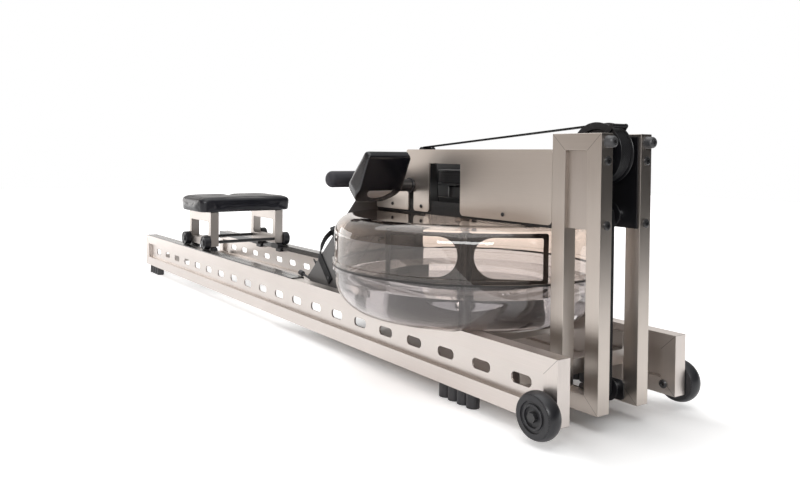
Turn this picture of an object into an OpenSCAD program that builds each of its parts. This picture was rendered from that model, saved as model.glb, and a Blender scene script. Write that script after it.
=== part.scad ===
// Water rowing machine: two slotted rails, a clear round tank, a twin-frame
// tower with strap pulleys, a sliding seat, a straight handle and a monitor.
// Millimetres. +X points to the tower end, +Z up, the floor is Z = 0.
// Drawn from the front end of the rails (X = 0) and shifted to the middle at the end.

/* [Rails] */
// Length of each rail
rail_len = 2125; // [2080:5:2300]
// Height of each rail frame
rail_h = 114; // [110:1:118]
// Clear width between the two rails
rail_gap = 286; // [284:1:292]
// Side of the square tube
tube = 30; // [28:1:32]
// Wall of the square tube
wall = 2; // [1.5:0.5:3]
// Height of the rubber feet
foot_h = 24; // [22:1:30]
// Thickness of the slotted web
web_t = 4; // [3:0.5:6]
// Distance from the rail front to the first slot
slot_first = 92; // [80:1:100]
// Distance from slot to slot
slot_pitch = 101; // [99:1:102]
// Number of slots in each web
slot_n = 20; // [10:1:20]
// Length of a slot
slot_len = 48; // [36:1:60]
// Height of a slot
slot_h = 20; // [14:1:26]
// Thickness of the track strip on the rail
track_t = 3; // [2:0.5:4]
// Width of the track strip that the rollers run on
track_w = 29; // [26:1:29]

/* [Tower] */
// Height of the tower frames above the floor
tower_top = 509; // [505:1:520]
// Depth of the tower frames
tower_d = 108; // [106:1:116]
// Clear width between the tower frames
tower_gap = 76; // [74:1:80]
// Distance of the tower front behind the rail front
tower_x = 4; // [2:1:8]
// Flange radius of the top strap pulley
top_r = 55.5; // [52:0.5:55.5]
// Flange radius of the middle pulley
mid_r = 23; // [21:1:26]
// Flange radius of the bottom pulley
low_r = 23; // [21:1:24]
// Radius of the pulley axles
axle_r = 4; // [3.5:0.5:4.5]

/* [Deck] */
// Top edge of the deck plates
deck_top = 481; // [476:1:490]
// Rear end of the deck plates behind the rail front
deck_end = 665; // [660:1:670]
// Thickness of the deck plates
plate_t = 4; // [3:0.5:5]
// Clear width between the deck plates
deck_gap = 128; // [122:1:128]

/* [Tank] */
// Outer radius of the tank at its flange
tank_r = 295; // [290:1:298]
// Distance of the tank centre behind the rail front
tank_x = 418; // [415:1:422]
// Top of the tank
tank_top = 337; // [334:1:338]
// Bottom of the tank
tank_bot = 128; // [126:1:130]
// Wall of the tank
tank_wall = 4; // [3:0.5:5]
// Radius of the upper shoulder
shoulder_r = 40; // [34:1:44]
// Radius of the lower corner
corner_r = 75; // [65:1:80]
// Water level above the floor
water_z = 202; // [170:1:214]
// Radius of the paddle shaft
shaft_r = 8; // [7:0.5:9]
// Radius that the paddle blades reach
blade_r = 178; // [120:1:200]
// Radius of the wound drive strap on the drum
drum_r = 58; // [52:1:58]

/* [Seat] */
// Width of the seat pad
pad_w = 352; // [330:1:360]
// Depth of the seat pad
pad_d = 215; // [205:1:240]
// Thickness of the seat pad
pad_h = 52; // [44:1:60]
// Underside of the seat pad above the floor
pad_z = 267; // [260:1:275]
// Distance of the seat centre behind the rail front
seat_x = 1645; // [1500:5:1700]
// Radius of the seat rollers
roller_r = 23; // [21:0.5:24]
// Width of the seat rollers
roller_w = 23; // [20:1:24]
// Width of the flat bar of the seat frames
bar_w = 30; // [26:1:31]
// Thickness of the seat frame legs
leg_t = 22; // [18:1:24]
// Length of the seat frames
frame_l = 200; // [190:1:202]

/* [Footboard] */
// Distance from the rear of the tank to the lower edge of the footboard
foot_gap = 186.5; // [180:0.5:200]
// Half width of the footboard
foot_y = 127; // [124:1:130]
// Angle of the footboard
foot_a = 43.4; // [43:0.1:44]
// Thickness of the footboard sheet
foot_t = 3; // [2:0.5:3]
// Width of the foot straps
web_strap = 24; // [20:1:28]
// Width of the heel rests
heel_w = 92; // [86:0.5:94]
// Depth of the heel cups
cup_d = 24; // [18:1:26]

/* [Handle] */
// Length of the handle
handle_len = 456; // [420:2:480]
// Radius of the foam grips
grip_r = 19; // [16:0.5:19.5]
// Radius of the handle tube
bar_r = 12; // [10:0.5:14]
// Width of the drive strap
strap_w = 25; // [20:1:25]
// Thickness of the drive strap
strap_t = 2.2; // [1.8:0.1:2.6]

/* [Wheels and feet] */
// Radius of the transport wheels
wheel_r = 41; // [34:0.5:42]
// Width of the transport wheels
wheel_w = 30; // [24:1:34]
// Radius of the wheel bolts
bolt_r = 5; // [4:0.5:6]
// Diameter of the round columns of the feet
col_d = 25.6; // [24:0.2:28]
// Extra length of the feet below the reference plane of the frame
foot_drop = 5; // [2:0.5:8]
// Distance from the rail front to the rearmost column of the front feet
foot_first = 294.8; // [280:0.2:300]

/* [Monitor] */
// Width of the monitor housing
mon_w = 115; // [105:1:125]
// Radius of the monitor arm
arm_r = 14; // [12:0.5:15]
// Width of the gap between deck plate and monitor
mon_gap = 39.5; // [36:0.5:44]
// Height of the half-round lower end
mon_sag = 45; // [38:1:50]

/* [Hidden] */
$fn = 96;

gap = 0.3;
run = 0.05;
in_y = rail_gap / 2;
out_y = in_y + tube;
rail_top = foot_h + rail_h;
mid_z = foot_h + rail_h / 2;
x_mid = (rail_len - (wheel_r - 24)) / 2;

// tower
tw_in = tower_gap / 2;
tw_out = tw_in + tube;
tw_f = -tower_x;
tw_b = -tower_x - tower_d;
liner_t = 4;
liner_in = tw_in - liner_t;
top_x = -58;
top_z = 474.5;
low_x = -50;
low_z = 50;
mid_x = -50;
mid_pz = 365;
groove_top = top_r - 5.5;
groove_mid = mid_r - 10.5;
groove_low = low_r - 10.5;
rec_w = 20;
rec_t = 2;
infill_z = 341;

// deck
dk_in = deck_gap / 2;
dk_out = dk_in + plate_t;
win_x1 = -465;
win_x2 = -362;
arm_x = -529.7;
arm_z = 399.7;
slot_w = 19;
core_h = 30;
guide_x = -556;
guide_r = 7;
guide_z = deck_top - 2;
drum_z = 421;
low_wind_r = 40;
low_wind_z = 388;

// handle
hd_x = -634;
hd_z = 411;

// wheels
wh_x = -24;
wh_z = foot_h + 19.1;

// seat
run_z = rail_top + track_t;
ax_z = run_z + roller_r + gap;
ax_dx = frame_l / 2 - leg_t / 2;
rol_in = in_y - 4.5;
leg_out = rol_in - 1;
leg_in = leg_out - bar_w;
fr_bot = 150;
fr_top = pad_z - gap;
beam_h = 25;

// footboard frame: lower edge of the board, x up the slope, z towards the rower
fb_x = -tank_x - tank_r - foot_gap;
fb_z = 142.7;
fb_len = 325.7;
strap_s = 125;
strap_y = 74.5;
strap_a = -32.7;
strap_u = 65;
strap_hi = 52;
wt = 2.5;
beam_top = tank_bot;

// monitor frame: origin on the arm, x up the face, z out of the face
mon_a = 46.5;
mon_y = -(dk_out + mon_gap + mon_w / 2);
mon_front = 23.5;
btn_r = 6;
btn_h = 3;

module side(s) { mirror([0, s > 0 ? 0 : 1, 0]) children(); }
module both() { side(1) children(); side(-1) children(); }
// box from one corner to the other
module bx(a, b) { translate(a) cube([b[0] - a[0], b[1] - a[1], b[2] - a[2]]); }
// cylinder along Y between y1 and y2
module cy(r, x, y1, y2, z) { translate([x, y2, z]) rotate([90, 0, 0]) cylinder(r = r, h = y2 - y1); }
// cylinder along X from x1 to x2
module cx(r, x1, x2, y, z) { translate([x1, y, z]) rotate([0, 90, 0]) cylinder(r = r, h = x2 - x1); }
// profile in X-Z, extruded over y1..y2
module xz(y1, y2) { translate([0, y2, 0]) rotate([90, 0, 0]) linear_extrude(y2 - y1) children(); }
// rounded rectangle between two corners
module rr(a, b, r) {
  translate([a[0] + r, a[1]]) square([b[0] - a[0] - 2 * r, b[1] - a[1]]);
  translate([a[0], a[1] + r]) square([b[0] - a[0], b[1] - a[1] - 2 * r]);
  for (x = [a[0] + r, b[0] - r], y = [a[1] + r, b[1] - r]) translate([x, y]) circle(r = r, $fn = 32);
}

// welded ring of hollow square tube in X-Z
module tube_ring(x1, x2, z1, z2, y1, y2) {
  difference() {
    bx([x1, y1, z1], [x2, y2, z2]);
    bx([x1 + tube, y1 - 1, z1 + tube], [x2 - tube, y2 + 1, z2 - tube]);
    difference() {
      bx([x1 + wall, y1 + wall, z1 + wall], [x2 - wall, y2 - wall, z2 - wall]);
      bx([x1 + tube - wall, y1, z1 + tube - wall], [x2 - tube + wall, y2, z2 - tube + wall]);
    }
  }
}

module rail_frame() {
  difference() {
    tube_ring(-rail_len, 0, foot_h, rail_top, in_y, out_y);
    cy(bolt_r + 0.1, wh_x, in_y - 1, out_y + 1, wh_z);
  }
}
module rail_frame_r() { color("silver") side(-1) rail_frame(); }
module rail_frame_l() { color("silver") side(1) rail_frame(); }

// recessed web with its row of long holes
module rail_webs() {
  color("gainsboro") both() xz(in_y + tube / 2 - web_t / 2, in_y + tube / 2 + web_t / 2) difference() {
    translate([-rail_len + tube, foot_h + tube]) square([rail_len - 2 * tube, rail_h - 2 * tube]);
    for (i = [0:slot_n - 1]) translate([-slot_first - i * slot_pitch, mid_z]) {
      square([slot_len - slot_h * 0.9, slot_h], center = true);
      square([slot_len, slot_h * 0.1], center = true);
      for (s = [-1, 1], t = [-1, 1]) translate([s * (slot_len / 2 - slot_h * 0.45), t * slot_h * 0.05])
        circle(r = slot_h * 0.45, $fn = 24);
    }
  }
}

// angle strip: rolling face on top, lip over the inner face
track_f = fb_x - 5.5;
track_b = -rail_len + 15;
module track_strips() {
  color("#26262a") both() difference() {
    union() {
      bx([track_b, in_y - 8, rail_top], [track_f, in_y + track_w, run_z]);
      bx([track_b, in_y - 8, rail_top - 14], [track_f, in_y, run_z]);
    }
    // shallow groove along the strip
    bx([track_b - 1, in_y + 6, run_z - 1], [track_f + 1, in_y + 8, run_z + 1]);
  }
}

module rail_feet() {
  color("#202022") both() for (x0 = [-foot_first, -rail_len + 50]) {
    for (i = [0:3]) translate([x0 + i * (col_d + 0.6), in_y + tube / 2, -foot_drop])
      cylinder(d = col_d, h = foot_h + foot_drop, $fn = 48);
    bx([x0, in_y + 7, foot_h - 4], [x0 + 3 * (col_d + 0.6), out_y - 7, foot_h]);
  }
}

module cross_tube(x, z) {
  difference() {
    bx([x - tube / 2, -in_y, z], [x + tube / 2, in_y, z + tube]);
    bx([x - tube / 2 + wall, -in_y - 1, z + wall], [x + tube / 2 - wall, in_y + 1, z + tube - wall]);
  }
}
module cross_members() {
  color("silver") {
    cross_tube(tw_b - tube / 2, foot_h + 36);
    // end plates of the tower beam
    both() bx([tw_b - 25, in_y - 4, foot_h + 4], [tw_b, in_y, rail_top - 14]);
    cross_tube(-tank_x + 153, beam_top - tube);
    cross_tube(-tank_x - 157, beam_top - tube);
    cross_tube(fb_x + 99.5, beam_top - tube);
    cross_tube(-rail_len + 70, foot_h + 10);
  }
}

bolt_z = [461.5, 350.5];
module tower_frame() {
  difference() {
    tube_ring(tw_b, tw_f, foot_h, tower_top, tw_in, tw_out);
    for (z = bolt_z) cx(3.6, tw_f - wall - 1, tw_f + 1, tw_in + tube / 2, z);
    cx(2.6, tw_f - wall - 1, tw_f + 1, tw_in + tube / 2, tower_top - 15);
  }
}
module tower_frame_r() { color("silver") side(-1) tower_frame(); }
module tower_frame_l() { color("silver") side(1) tower_frame(); }

// recessed infill with a folded lower lip
module tower_panels() {
  color("gainsboro") both() {
    bx([tw_b + tube, tw_out - 12, infill_z], [tw_f - tube, tw_out - 8, tower_top - tube]);
    bx([tw_b + tube, tw_in + 4, infill_z], [tw_f - tube, tw_out - 8, infill_z + 3]);
  }
}

// black inner plates, and the brackets of the bottom pulley
module tower_liners() {
  color("#1c1c20") both() {
    xz(liner_in, tw_in) difference() {
      translate([tw_b + 4, infill_z]) square([tower_d - 8, tower_top - 5 - infill_z]);
      translate([top_x, top_z]) circle(r = axle_r + 0.1);
      translate([mid_x, mid_pz]) circle(r = axle_r + 0.1);
    }
    xz(liner_in, tw_in) difference() {
      rr([low_x - 20, foot_h + 3], [low_x + 20, low_z + 14], 8);
      translate([low_x, low_z]) circle(r = axle_r + 0.1);
    }
  }
}

module tower_bumpers() {
  color("#6a6a6e") both() translate([tw_f, tw_in + tube / 2, tower_top - 15]) rotate([0, 90, 0]) difference() {
    union() {
      cylinder(r1 = 11, r2 = 10.2, h = 11);
      rotate_extrude() intersection() {
        union() {
          translate([4.6, 11]) circle(r = 5.6);
          square([4.6, 16.6]);
        }
        translate([0, 10]) square([12, 8]);
      }
    }
    translate([0, 0, 12.5]) cylinder(r = 4, h = 7);
  }
}

// button-head socket bolt along +Z, head on top
module button_bolt(r, len, k = 2) {
  difference() {
    union() {
      translate([0, 0, -len]) cylinder(r = r, h = len, $fn = 32);
      cylinder(r = k * r, h = 0.7 * r, $fn = 32);
      translate([0, 0, 0.7 * r]) cylinder(r1 = k * r, r2 = (k - 0.7) * r, h = 0.5 * r, $fn = 32);
    }
    translate([0, 0, 0.4 * r]) cylinder(r = r * 0.95, h = 2 * r, $fn = 6);
  }
}
module socket_bolts() {
  color("#222225") both() for (z = bolt_z)
    translate([tw_f, tw_in + tube / 2, z]) rotate([0, 90, 0]) button_bolt(3.5, 16, 2.3);
}

// axle between the liner plates with its two spacer tubes
module axle_set(x, z, w) {
  cy(axle_r, x, -tw_in, tw_in, z);
  for (s = [-1, 1]) cy(boss_r, x, s > 0 ? w / 2 + gap : -liner_in, s > 0 ? liner_in : -w / 2 - gap, z);
}
boss_r = 9;
top_w = strap_w + 9;
rec_pw = rec_w + 8;
module pulley_axles() {
  color("#88888c") {
    axle_set(top_x, top_z, top_w);
    axle_set(mid_x, mid_pz, rec_pw);
    axle_set(low_x, low_z, rec_pw);
  }
}

// strap keeper over the top pulley, and the guide at the rear of the deck
keep_a = 53.7;
keep_r = top_r + 4.6;
arm_in = top_w / 2 + 0.8;
module strap_guides() {
  color("#18181b") {
    both() xz(arm_in, arm_in + 3) difference() {
      union() {
        translate([top_x, top_z]) circle(r = boss_r + 5);
        translate([top_x, top_z]) rotate(keep_a) translate([0, -4.2]) square([keep_r, 8.4]);
        translate([top_x, top_z]) rotate(keep_a) translate([keep_r, 0]) circle(r = 4.2);
      }
      translate([top_x, top_z]) circle(r = boss_r + 0.1);
    }
    translate([top_x, 0, top_z]) rotate([0, -keep_a, 0]) cy(3.8, keep_r, -arm_in - 3, arm_in + 3, 0);
    cy(guide_r, guide_x, -15.2, 15.2, guide_z);
    cy(3.5, guide_x, -20, 20, guide_z);
  }
}

// side plate: band on top, three tabs, a keyhole slot and an open window
module deck_profile() {
  difference() {
    union() {
      rr([-548, 392], [tw_b, deck_top], 5);
      translate([-500, 392]) square([500 + tw_b, 20]);
      rr([win_x2, tab_z], [tw_b, 420], 10);
      rr([arm_x + slot_w / 2, tab_z], [win_x1, 420], 8);
      rr([-deck_end, tab_z], [arm_x - slot_w / 2, 398], 4);
      // concave shoulder down to the rear tab
      difference() {
        translate([-601, 380]) square([62, 80]);
        translate([-600, 450.8]) circle(r = 52.8);
      }
    }
    translate([win_x1, tab_z - 8]) square([win_x2 - win_x1, 450 - tab_z + 8]);
    translate([arm_x, arm_z]) circle(r = arm_r + 2);
    translate([arm_x - slot_w / 2, tab_z - 8]) square([slot_w, arm_z - tab_z + 8]);
    // rest for the grips of the handle
    translate([hd_x, hd_z]) circle(r = grip_r + 0.5);
    for (x = deck_scr) translate([x, scr_z]) circle(r = 2.1, $fn = 24);
  }
}
tab_z = tank_top + 5;
scr_z = tank_top + 16.5;
deck_scr = [-236, -492, -600];
module deck_plate() { xz(dk_in, dk_out) deck_profile(); }
module deck_plate_r() { color("silver") side(-1) deck_plate(); }
module deck_plate_l() { color("silver") side(1) deck_plate(); }

module deck_core() {
  color("#17171a") difference() {
    union() {
      bx([-deck_end, -dk_in, tank_top], [tw_b, dk_in, tank_top + 4]);
      both() bx([-deck_end, dk_in - 4, tank_top], [tw_b, dk_in, tank_top + core_h]);
      bx([-deck_end, -dk_in, tank_top], [-deck_end + 4, dk_in, tank_top + core_h]);
      // bracket that holds the monitor arm
      bx([arm_x - 17, -dk_in + 4, tank_top], [arm_x + 17, -dk_in + 30, arm_z]);
      cy(17, arm_x, -dk_in + 4, -dk_in + 30, arm_z);
      // two ears that carry the rear strap guide
      both() xz(15.6, 18.6) {
        polygon([[guide_x - 24, tank_top + 1], [guide_x + 24, tank_top + 1], [guide_x + 8.5, guide_z], [guide_x - 8.5, guide_z]]);
        translate([guide_x, guide_z]) circle(r = 8.5);
      }
    }
    cy(arm_r + 0.1, arm_x, -dk_in + 3, -dk_in + 26, arm_z);
    cy(3.6, guide_x, -25, 25, guide_z);
    translate([-tank_x, 0, tank_top - 1]) cylinder(r = shaft_r + 4, h = 10);
    both() for (x = deck_scr) cy(2.1, x, dk_in - 5, dk_in + 1, scr_z);
  }
}

module deck_screws() {
  color("#3a3a3d") both() for (x = deck_scr)
    translate([x, dk_out, scr_z]) rotate([-90, 0, 0]) button_bolt(2, plate_t + 4);
}

// clear tank, two shells that meet at a flange
fl_t = 8;
fl_mid = 230;
up_r = tank_r - 4;
lo_r = tank_r - 6;
module upper_outline(o) {
  r = up_r - o;
  t = tank_top - o;
  s = shoulder_r - o;
  square([r - s, t - fl_mid]);
  square([r, t - fl_mid - s]);
  translate([r - s, t - fl_mid - s]) circle(r = s);
}
module tank_upper() {
  color([0.35, 0.36, 0.38, 0.5]) translate([-tank_x, 0, fl_mid + 2]) difference() {
    union() {
      rotate_extrude() translate([0, -2]) intersection() {
        difference() {
          upper_outline(0);
          upper_outline(tank_wall);
        }
        translate([0, 2]) square([tank_r + 5, 400]);
      }
      rotate_extrude() translate([up_r - tank_wall, 0]) square([tank_r - up_r + tank_wall, fl_t]);
      translate([0, 0, tank_top - fl_mid - 22]) cylinder(r = 24, h = 20);
    }
    translate([0, 0, 50]) cylinder(r = shaft_r + run, h = 100);
  }
}
module lower_outline(o) {
  r = lo_r - o;
  b = tank_bot + o;
  c = corner_r - o;
  translate([0, b]) square([r - c, fl_mid - b]);
  translate([0, b + c]) square([r, fl_mid - b - c]);
  translate([r - c, b + c]) circle(r = c);
}
module rail_ribs(o) {
  both() bx([-tank_x - tank_r, in_y - 0.6 - o, tank_bot - 1], [-tank_x + tank_r, out_y + 0.6 + o, rail_top + gap + o]);
}
module tank_lower() {
  color([0.45, 0.46, 0.48, 0.5]) difference() {
    union() {
      translate([-tank_x, 0, 0]) {
        rotate_extrude() difference() {
          lower_outline(0);
          lower_outline(tank_wall);
          translate([0, fl_mid - 2]) square([400, 50]);
        }
        translate([0, 0, fl_mid - 2 - fl_t]) rotate_extrude() translate([lo_r - tank_wall, 0])
          square([tank_r - lo_r + tank_wall, fl_t]);
        translate([0, 0, tank_bot + 1]) cylinder(r = 22, h = tank_wall + 14);
      }
      intersection() {
        translate([-tank_x, 0, 0]) rotate_extrude() intersection() {
          lower_outline(0);
          square([400, fl_mid - 2]);
        }
        rail_ribs(tank_wall);
      }
    }
    rail_ribs(0);
    translate([-tank_x, 0, tank_bot + 6]) cylinder(r = shaft_r + run, h = 60);
  }
}
module tank_gasket() {
  color("#2a2c30") translate([-tank_x, 0, fl_mid - 2]) rotate_extrude() translate([lo_r - 2, 0]) square([tank_r - lo_r, 4]);
}
module tank_water() {
  color([0.6, 0.75, 0.8, 0.5]) difference() {
    translate([-tank_x, 0, 0]) difference() {
      rotate_extrude() intersection() {
        lower_outline(tank_wall + gap);
        square([400, water_z]);
      }
      translate([0, 0, tank_bot]) cylinder(r = 22 + gap, h = 100);
      translate([0, 0, blade_z - 2]) cylinder(r = blade_r + 2, h = 100);
    }
    rail_ribs(tank_wall + gap);
  }
}

// shaft, drum and the two-armed sheet paddle
module paddle_shaft() {
  color("#b0b0b4") translate([-tank_x, 0, tank_bot + 6 + gap]) cylinder(r = shaft_r, h = drum_z + 22 - tank_bot - 6);
}
blade_z = 155;
blade_h = 152;
blade_t = 2.5;
hub_r = shaft_r + 5;
module blade2d() {
  for (m = [0, 1]) mirror([m, 0]) difference() {
    rr([-12, 0], [blade_r, blade_h], 8);
    // window with a round inner end leaves a waisted web by the hub
    polygon(concat([for (i = [0:24]) let(a = 90 + 7.5 * i) [hub_r + 53 + 48 * cos(a), 90 + 48 * sin(a)]],
      [for (i = [0:6]) [blade_r - 16 + 5 * sin(15 * i), 47 - 5 * cos(15 * i)]],
      [for (i = [0:6]) [blade_r - 16 + 5 * cos(15 * i), 133 + 5 * sin(15 * i)]]));
  }
}
module paddle() {
  color("#9a9ca0") translate([-tank_x, 0, blade_z]) difference() {
    union() {
      for (a = [48, 138]) rotate([0, 0, a]) rotate([90, 0, 0])
        translate([0, 0, -blade_t / 2]) linear_extrude(blade_t) blade2d();
      translate([0, 0, -3]) cylinder(r = hub_r, h = blade_h + 5);
    }
    translate([0, 0, -4]) cylinder(r = shaft_r + 0.1, h = blade_h + 8);
  }
}
drum_lip = 4;
module strap_drum() {
  color("#141417") translate([-tank_x, 0, 0]) difference() {
    rotate_extrude() {
      translate([0, low_wind_z - rec_w / 2 - 4]) square([low_wind_r + 4, 2.5]);
      translate([0, low_wind_z - rec_w / 2 - 4]) square([low_wind_r, rec_w + 6]);
      translate([0, low_wind_z]) square([26, drum_z - low_wind_z]);
      translate([0, drum_z - strap_w / 2 - 3]) square([drum_r + drum_lip, 2]);
      translate([0, drum_z - strap_w / 2 - 3]) square([drum_r, strap_w + 5]);
      translate([0, drum_z + strap_w / 2 + 1]) square([drum_r + drum_lip, 2]);
    }
    translate([0, 0, 300]) cylinder(r = shaft_r + run, h = 200);
    // lightening holes seen from above
    for (a = [0:60:300]) rotate([0, 0, a]) translate([40, 0, drum_z - 6]) cylinder(r = 9, h = 60);
  }
}

// flanged strap pulley along Y, groove radius g
module pulley(x, z, r, g, w) {
  translate([x, 0, z]) rotate([90, 0, 0]) difference() {
    rotate_extrude() translate([0, -w / 2]) difference() {
      square([r, w]);
      // flanges flare so the strap can leave sideways
      polygon([[g, 3], [r, 1.2], [r + 9, 1.2], [r + 9, w - 1.2], [r, w - 1.2], [g, w - 3]]);
      if (g > 30) for (s = [0, 1]) translate([g * 0.4, s > 0 ? w - 4 : -1]) square([g * 0.45, 5]);
    }
    translate([0, 0, -w]) cylinder(r = axle_r + run, h = 2 * w);
  }
}
module top_pulley() { color("#1d1d21") pulley(top_x, top_z, top_r, groove_top, top_w); }
module mid_pulley() { color("#1d1d21") pulley(mid_x, mid_pz, mid_r, groove_mid, rec_pw); }
module bottom_pulley() { color("#1d1d21") pulley(low_x, low_z, low_r, groove_low, rec_pw); }

// flat strap on a pulley: ring sector about Y, a1 to a2 counted from +X towards +Z
module strap_arc(x, z, g, t, w, a1, a2) {
  translate([x, 0, z]) rotate([90, 0, 0]) rotate([0, 0, a1])
    translate([0, 0, -w / 2]) linear_extrude(w) intersection() {
      difference() {
        circle(r = g + gap + t);
        circle(r = g + gap);
      }
      polygon(concat([[0, 0]], [for (i = [0:6]) 3 * g * [cos((a2 - a1) * i / 6), sin((a2 - a1) * i / 6)]]));
    }
}
// straight strap between two points in X-Z, middle line, width along Y
module strap_run(p, q, t, w) {
  d = q - p;
  translate([p[0], 0, p[1]]) rotate([0, -atan2(d[1], d[0]), 0]) translate([0, -w / 2, -t / 2]) cube([norm(d), w, t]);
}
top_c = groove_top + gap + strap_t / 2;
g_c = guide_r + gap + strap_t / 2;
run_a = atan2(top_z - guide_z, top_x - guide_x) + asin((top_c - g_c) / norm([top_x - guide_x, top_z - guide_z]));
// the lower run stays flat until it is clear of the flanges
turn_x = top_x - sqrt(pow(top_r, 2) - pow(groove_top, 2)) - 5;
function arc_pts(x, z, r, a1, a2, n) = [for (i = [0:n]) let(a = a1 + (a2 - a1) * i / n) [x + r * cos(a), z + r * sin(a)]];
// one side of the strap from the deck guide over the top pulley
function strap_side(o) = concat(arc_pts(guide_x, guide_z, guide_r + gap + o, hs_a, 90 + run_a, 8),
  arc_pts(top_x, top_z, groove_top + gap + o, 90 + run_a, -90, 44), [[turn_x, top_z - groove_top - gap - o]]);
function back(v) = [for (i = [len(v) - 1:-1:0]) v[i]];
module drive_strap() {
  color("#16161a") {
    xz(-strap_w / 2, strap_w / 2) polygon(concat(strap_side(strap_t), back(strap_side(0))));
    // lower run turns a quarter turn on its way to the drum
    hull() {
      translate([turn_x - 0.5, -strap_w / 2, top_z - top_c - strap_t / 2]) cube([0.5, strap_w, strap_t]);
      translate([-tank_x + 10, -drum_r - gap - strap_t, drum_z - strap_w / 2]) cube([0.5, strap_t, strap_w]);
    }
    bx([-tank_x - 4, -drum_r - gap - strap_t, drum_z - strap_w / 2], [-tank_x + 10.4, -drum_r - gap, drum_z + strap_w / 2]);
  }
}
// angle of the strap where it leaves the deck guide towards the handle
yoke_p = [hd_x + 30, hd_z + 14];
hs_a = 90 + atan2(guide_z - yoke_p[1], guide_x - yoke_p[0]) + asin(g_c / norm([guide_x - yoke_p[0], guide_z - yoke_p[1]]));
module handle_strap() {
  color("#16161a") strap_run(yoke_p + 0.5 * [cos(hs_a - 90), sin(hs_a - 90)],
    [guide_x + g_c * cos(hs_a) - 0.5, guide_z + g_c * sin(hs_a) - 0.5], strap_t, strap_w);
}

mid_c = groove_mid + gap + rec_t / 2;
low_c = groove_low + gap + rec_t / 2;
bun_x = -950;
module recoil_strap() {
  color("#16161a") {
    hull() {
      translate([mid_x, -rec_w / 2, mid_pz + mid_c - rec_t / 2]) cube([0.5, rec_w, rec_t]);
      translate([-tank_x + 10, low_wind_r + gap, low_wind_z - rec_w / 2]) cube([0.5, rec_t, rec_w]);
    }
    bx([-tank_x - 4, low_wind_r + gap, low_wind_z - rec_w / 2], [-tank_x + 10.4, low_wind_r + gap + rec_t, low_wind_z + rec_w / 2]);
    strap_arc(mid_x, mid_pz, groove_mid, rec_t, rec_w, 0, 90);
    strap_run([mid_x + mid_c, mid_pz], [low_x + low_c, low_z], rec_t, rec_w);
    strap_arc(low_x, low_z, groove_low, rec_t, rec_w, -90, 0);
    strap_run([bun_x, low_z - low_c], [low_x, low_z - low_c], rec_t, rec_w);
    // sewn end with the cord clip
    bx([bun_x - 14, -rec_w / 2, low_z - low_c - 3], [bun_x, rec_w / 2, low_z - low_c + 9]);
  }
}
bun_z = low_z - low_c + 3.5;
module bungee_cord() {
  color("#1a1a1d") cx(4, -rail_len + 70 + tube / 2, bun_x - 14, 0, bun_z);
}

// footboard: sloped sheet, two cheeks, pressed ribs, slots for the straps
module fb() { translate([fb_x, 0, fb_z]) rotate([0, -foot_a, 0]) children(); }
lip_d = 22.5;
lip_s = 4.9;
module footboard() {
  color("#4a4a4e") difference() {
    union() {
      fb() {
        bx([0, -foot_y, -foot_t], [fb_len, foot_y, 0]);
        for (y = [-66, 0, 66]) bx([40, y - 5, -foot_t - 5], [180, y + 5, -foot_t + 1]);
        // turned lip along the lower edge
        xz(-foot_y, foot_y) polygon([[0, 0], [foot_t, 0], [foot_t + lip_s, -lip_d], [lip_s, -lip_d]]);
      }
      both() xz(foot_y - foot_t, foot_y) intersection() {
        polygon([[fb_x + 20, beam_top], [fb_x + 171.5, beam_top], [fb_x + 171.5, 400], [fb_x, 400], [fb_x, fb_z]]);
        translate([fb_x, fb_z]) rotate(foot_a) translate([0, -400]) square([400, 400]);
      }
    }
    fb() {
      both() strap_place() translate([strap_u - wt - 0.8, -web_strap / 2 - 0.8, -20]) cube([wt + 1.6, web_strap + 1.6, 30]);
      bx([(fb_x + deck_end + gap) * -1 / cos(foot_a) - foot_t * tan(foot_a), -dk_out - 0.5, -30], [fb_len + 5, dk_out + 0.5, 10]);
      // pairs of adjusting holes for the heel rests
      both() for (i = [0:5]) translate([38 + i * 14, heel_y, -foot_t - 1]) cylinder(r = 3.2, h = foot_t + 2, $fn = 24);
    }
    // passage of the stop rods
    both() stop_rod(3.4, 8, 44);
  }
}
heel_y = 73.5;
// frame of a strap arch: x towards its inner end, y across the web, z out of the board
module strap_place() { translate([strap_s, strap_y, 0]) rotate([0, 0, -90 - strap_a]) children(); }
function arch_n(u, h) = h * (1 - pow(abs(u) / strap_u, 2.2));
arch_k = 24;
// band between two arches, a mm inside and b mm outside of the web
module arch2d(a, b, low) {
  intersection() {
    difference() {
      polygon(concat([[-strap_u - b, -30]], [for (i = [-arch_k:arch_k]) let(u = i / arch_k * strap_u)
        [u * (1 + b / strap_u), arch_n(u, strap_hi) + wt + b]], [[strap_u + b, -30]]));
      polygon(concat([[-strap_u + wt + a, -31]], [for (i = [-arch_k:arch_k]) let(u = i / arch_k * strap_u)
        [u * (1 - (wt + a) / strap_u), arch_n(u, strap_hi) - a]], [[strap_u - wt - a, -31]]));
    }
    translate([-100, low]) square([200, 100]);
  }
}
module strap_band(w, a, b, low) { translate([0, w / 2, 0]) rotate([90, 0, 0]) linear_extrude(w) arch2d(a, b, low); }
module foot_strap(s) {
  color("#131316") fb() side(s) {
    strap_place() {
      intersection() {
        strap_band(web_strap, 0, 0, -12);
        union() {
          translate([-100, -50, 8]) cube([200, 100, 100]);
          translate([0, -50, -12]) cube([100, 100, 100]);
        }
      }
      // sewn loop below the board
      translate([strap_u - wt / 2 - 3.5, -web_strap / 2, -foot_t - gap - 7]) cube([7, web_strap, 7]);
    }
    hull() {
      strap_place() translate([-strap_u + 1.2, -web_strap / 2, 8]) cube([wt, web_strap, 1]);
      translate([78, foot_y + gap, gap]) cube([22, wt, 1]);
    }
    bx([78, foot_y + gap, -80], [100, foot_y + gap + wt, 1.2]);
  }
}
module foot_strap_r() { foot_strap(-1); }
module foot_strap_l() { foot_strap(1); }
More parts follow.
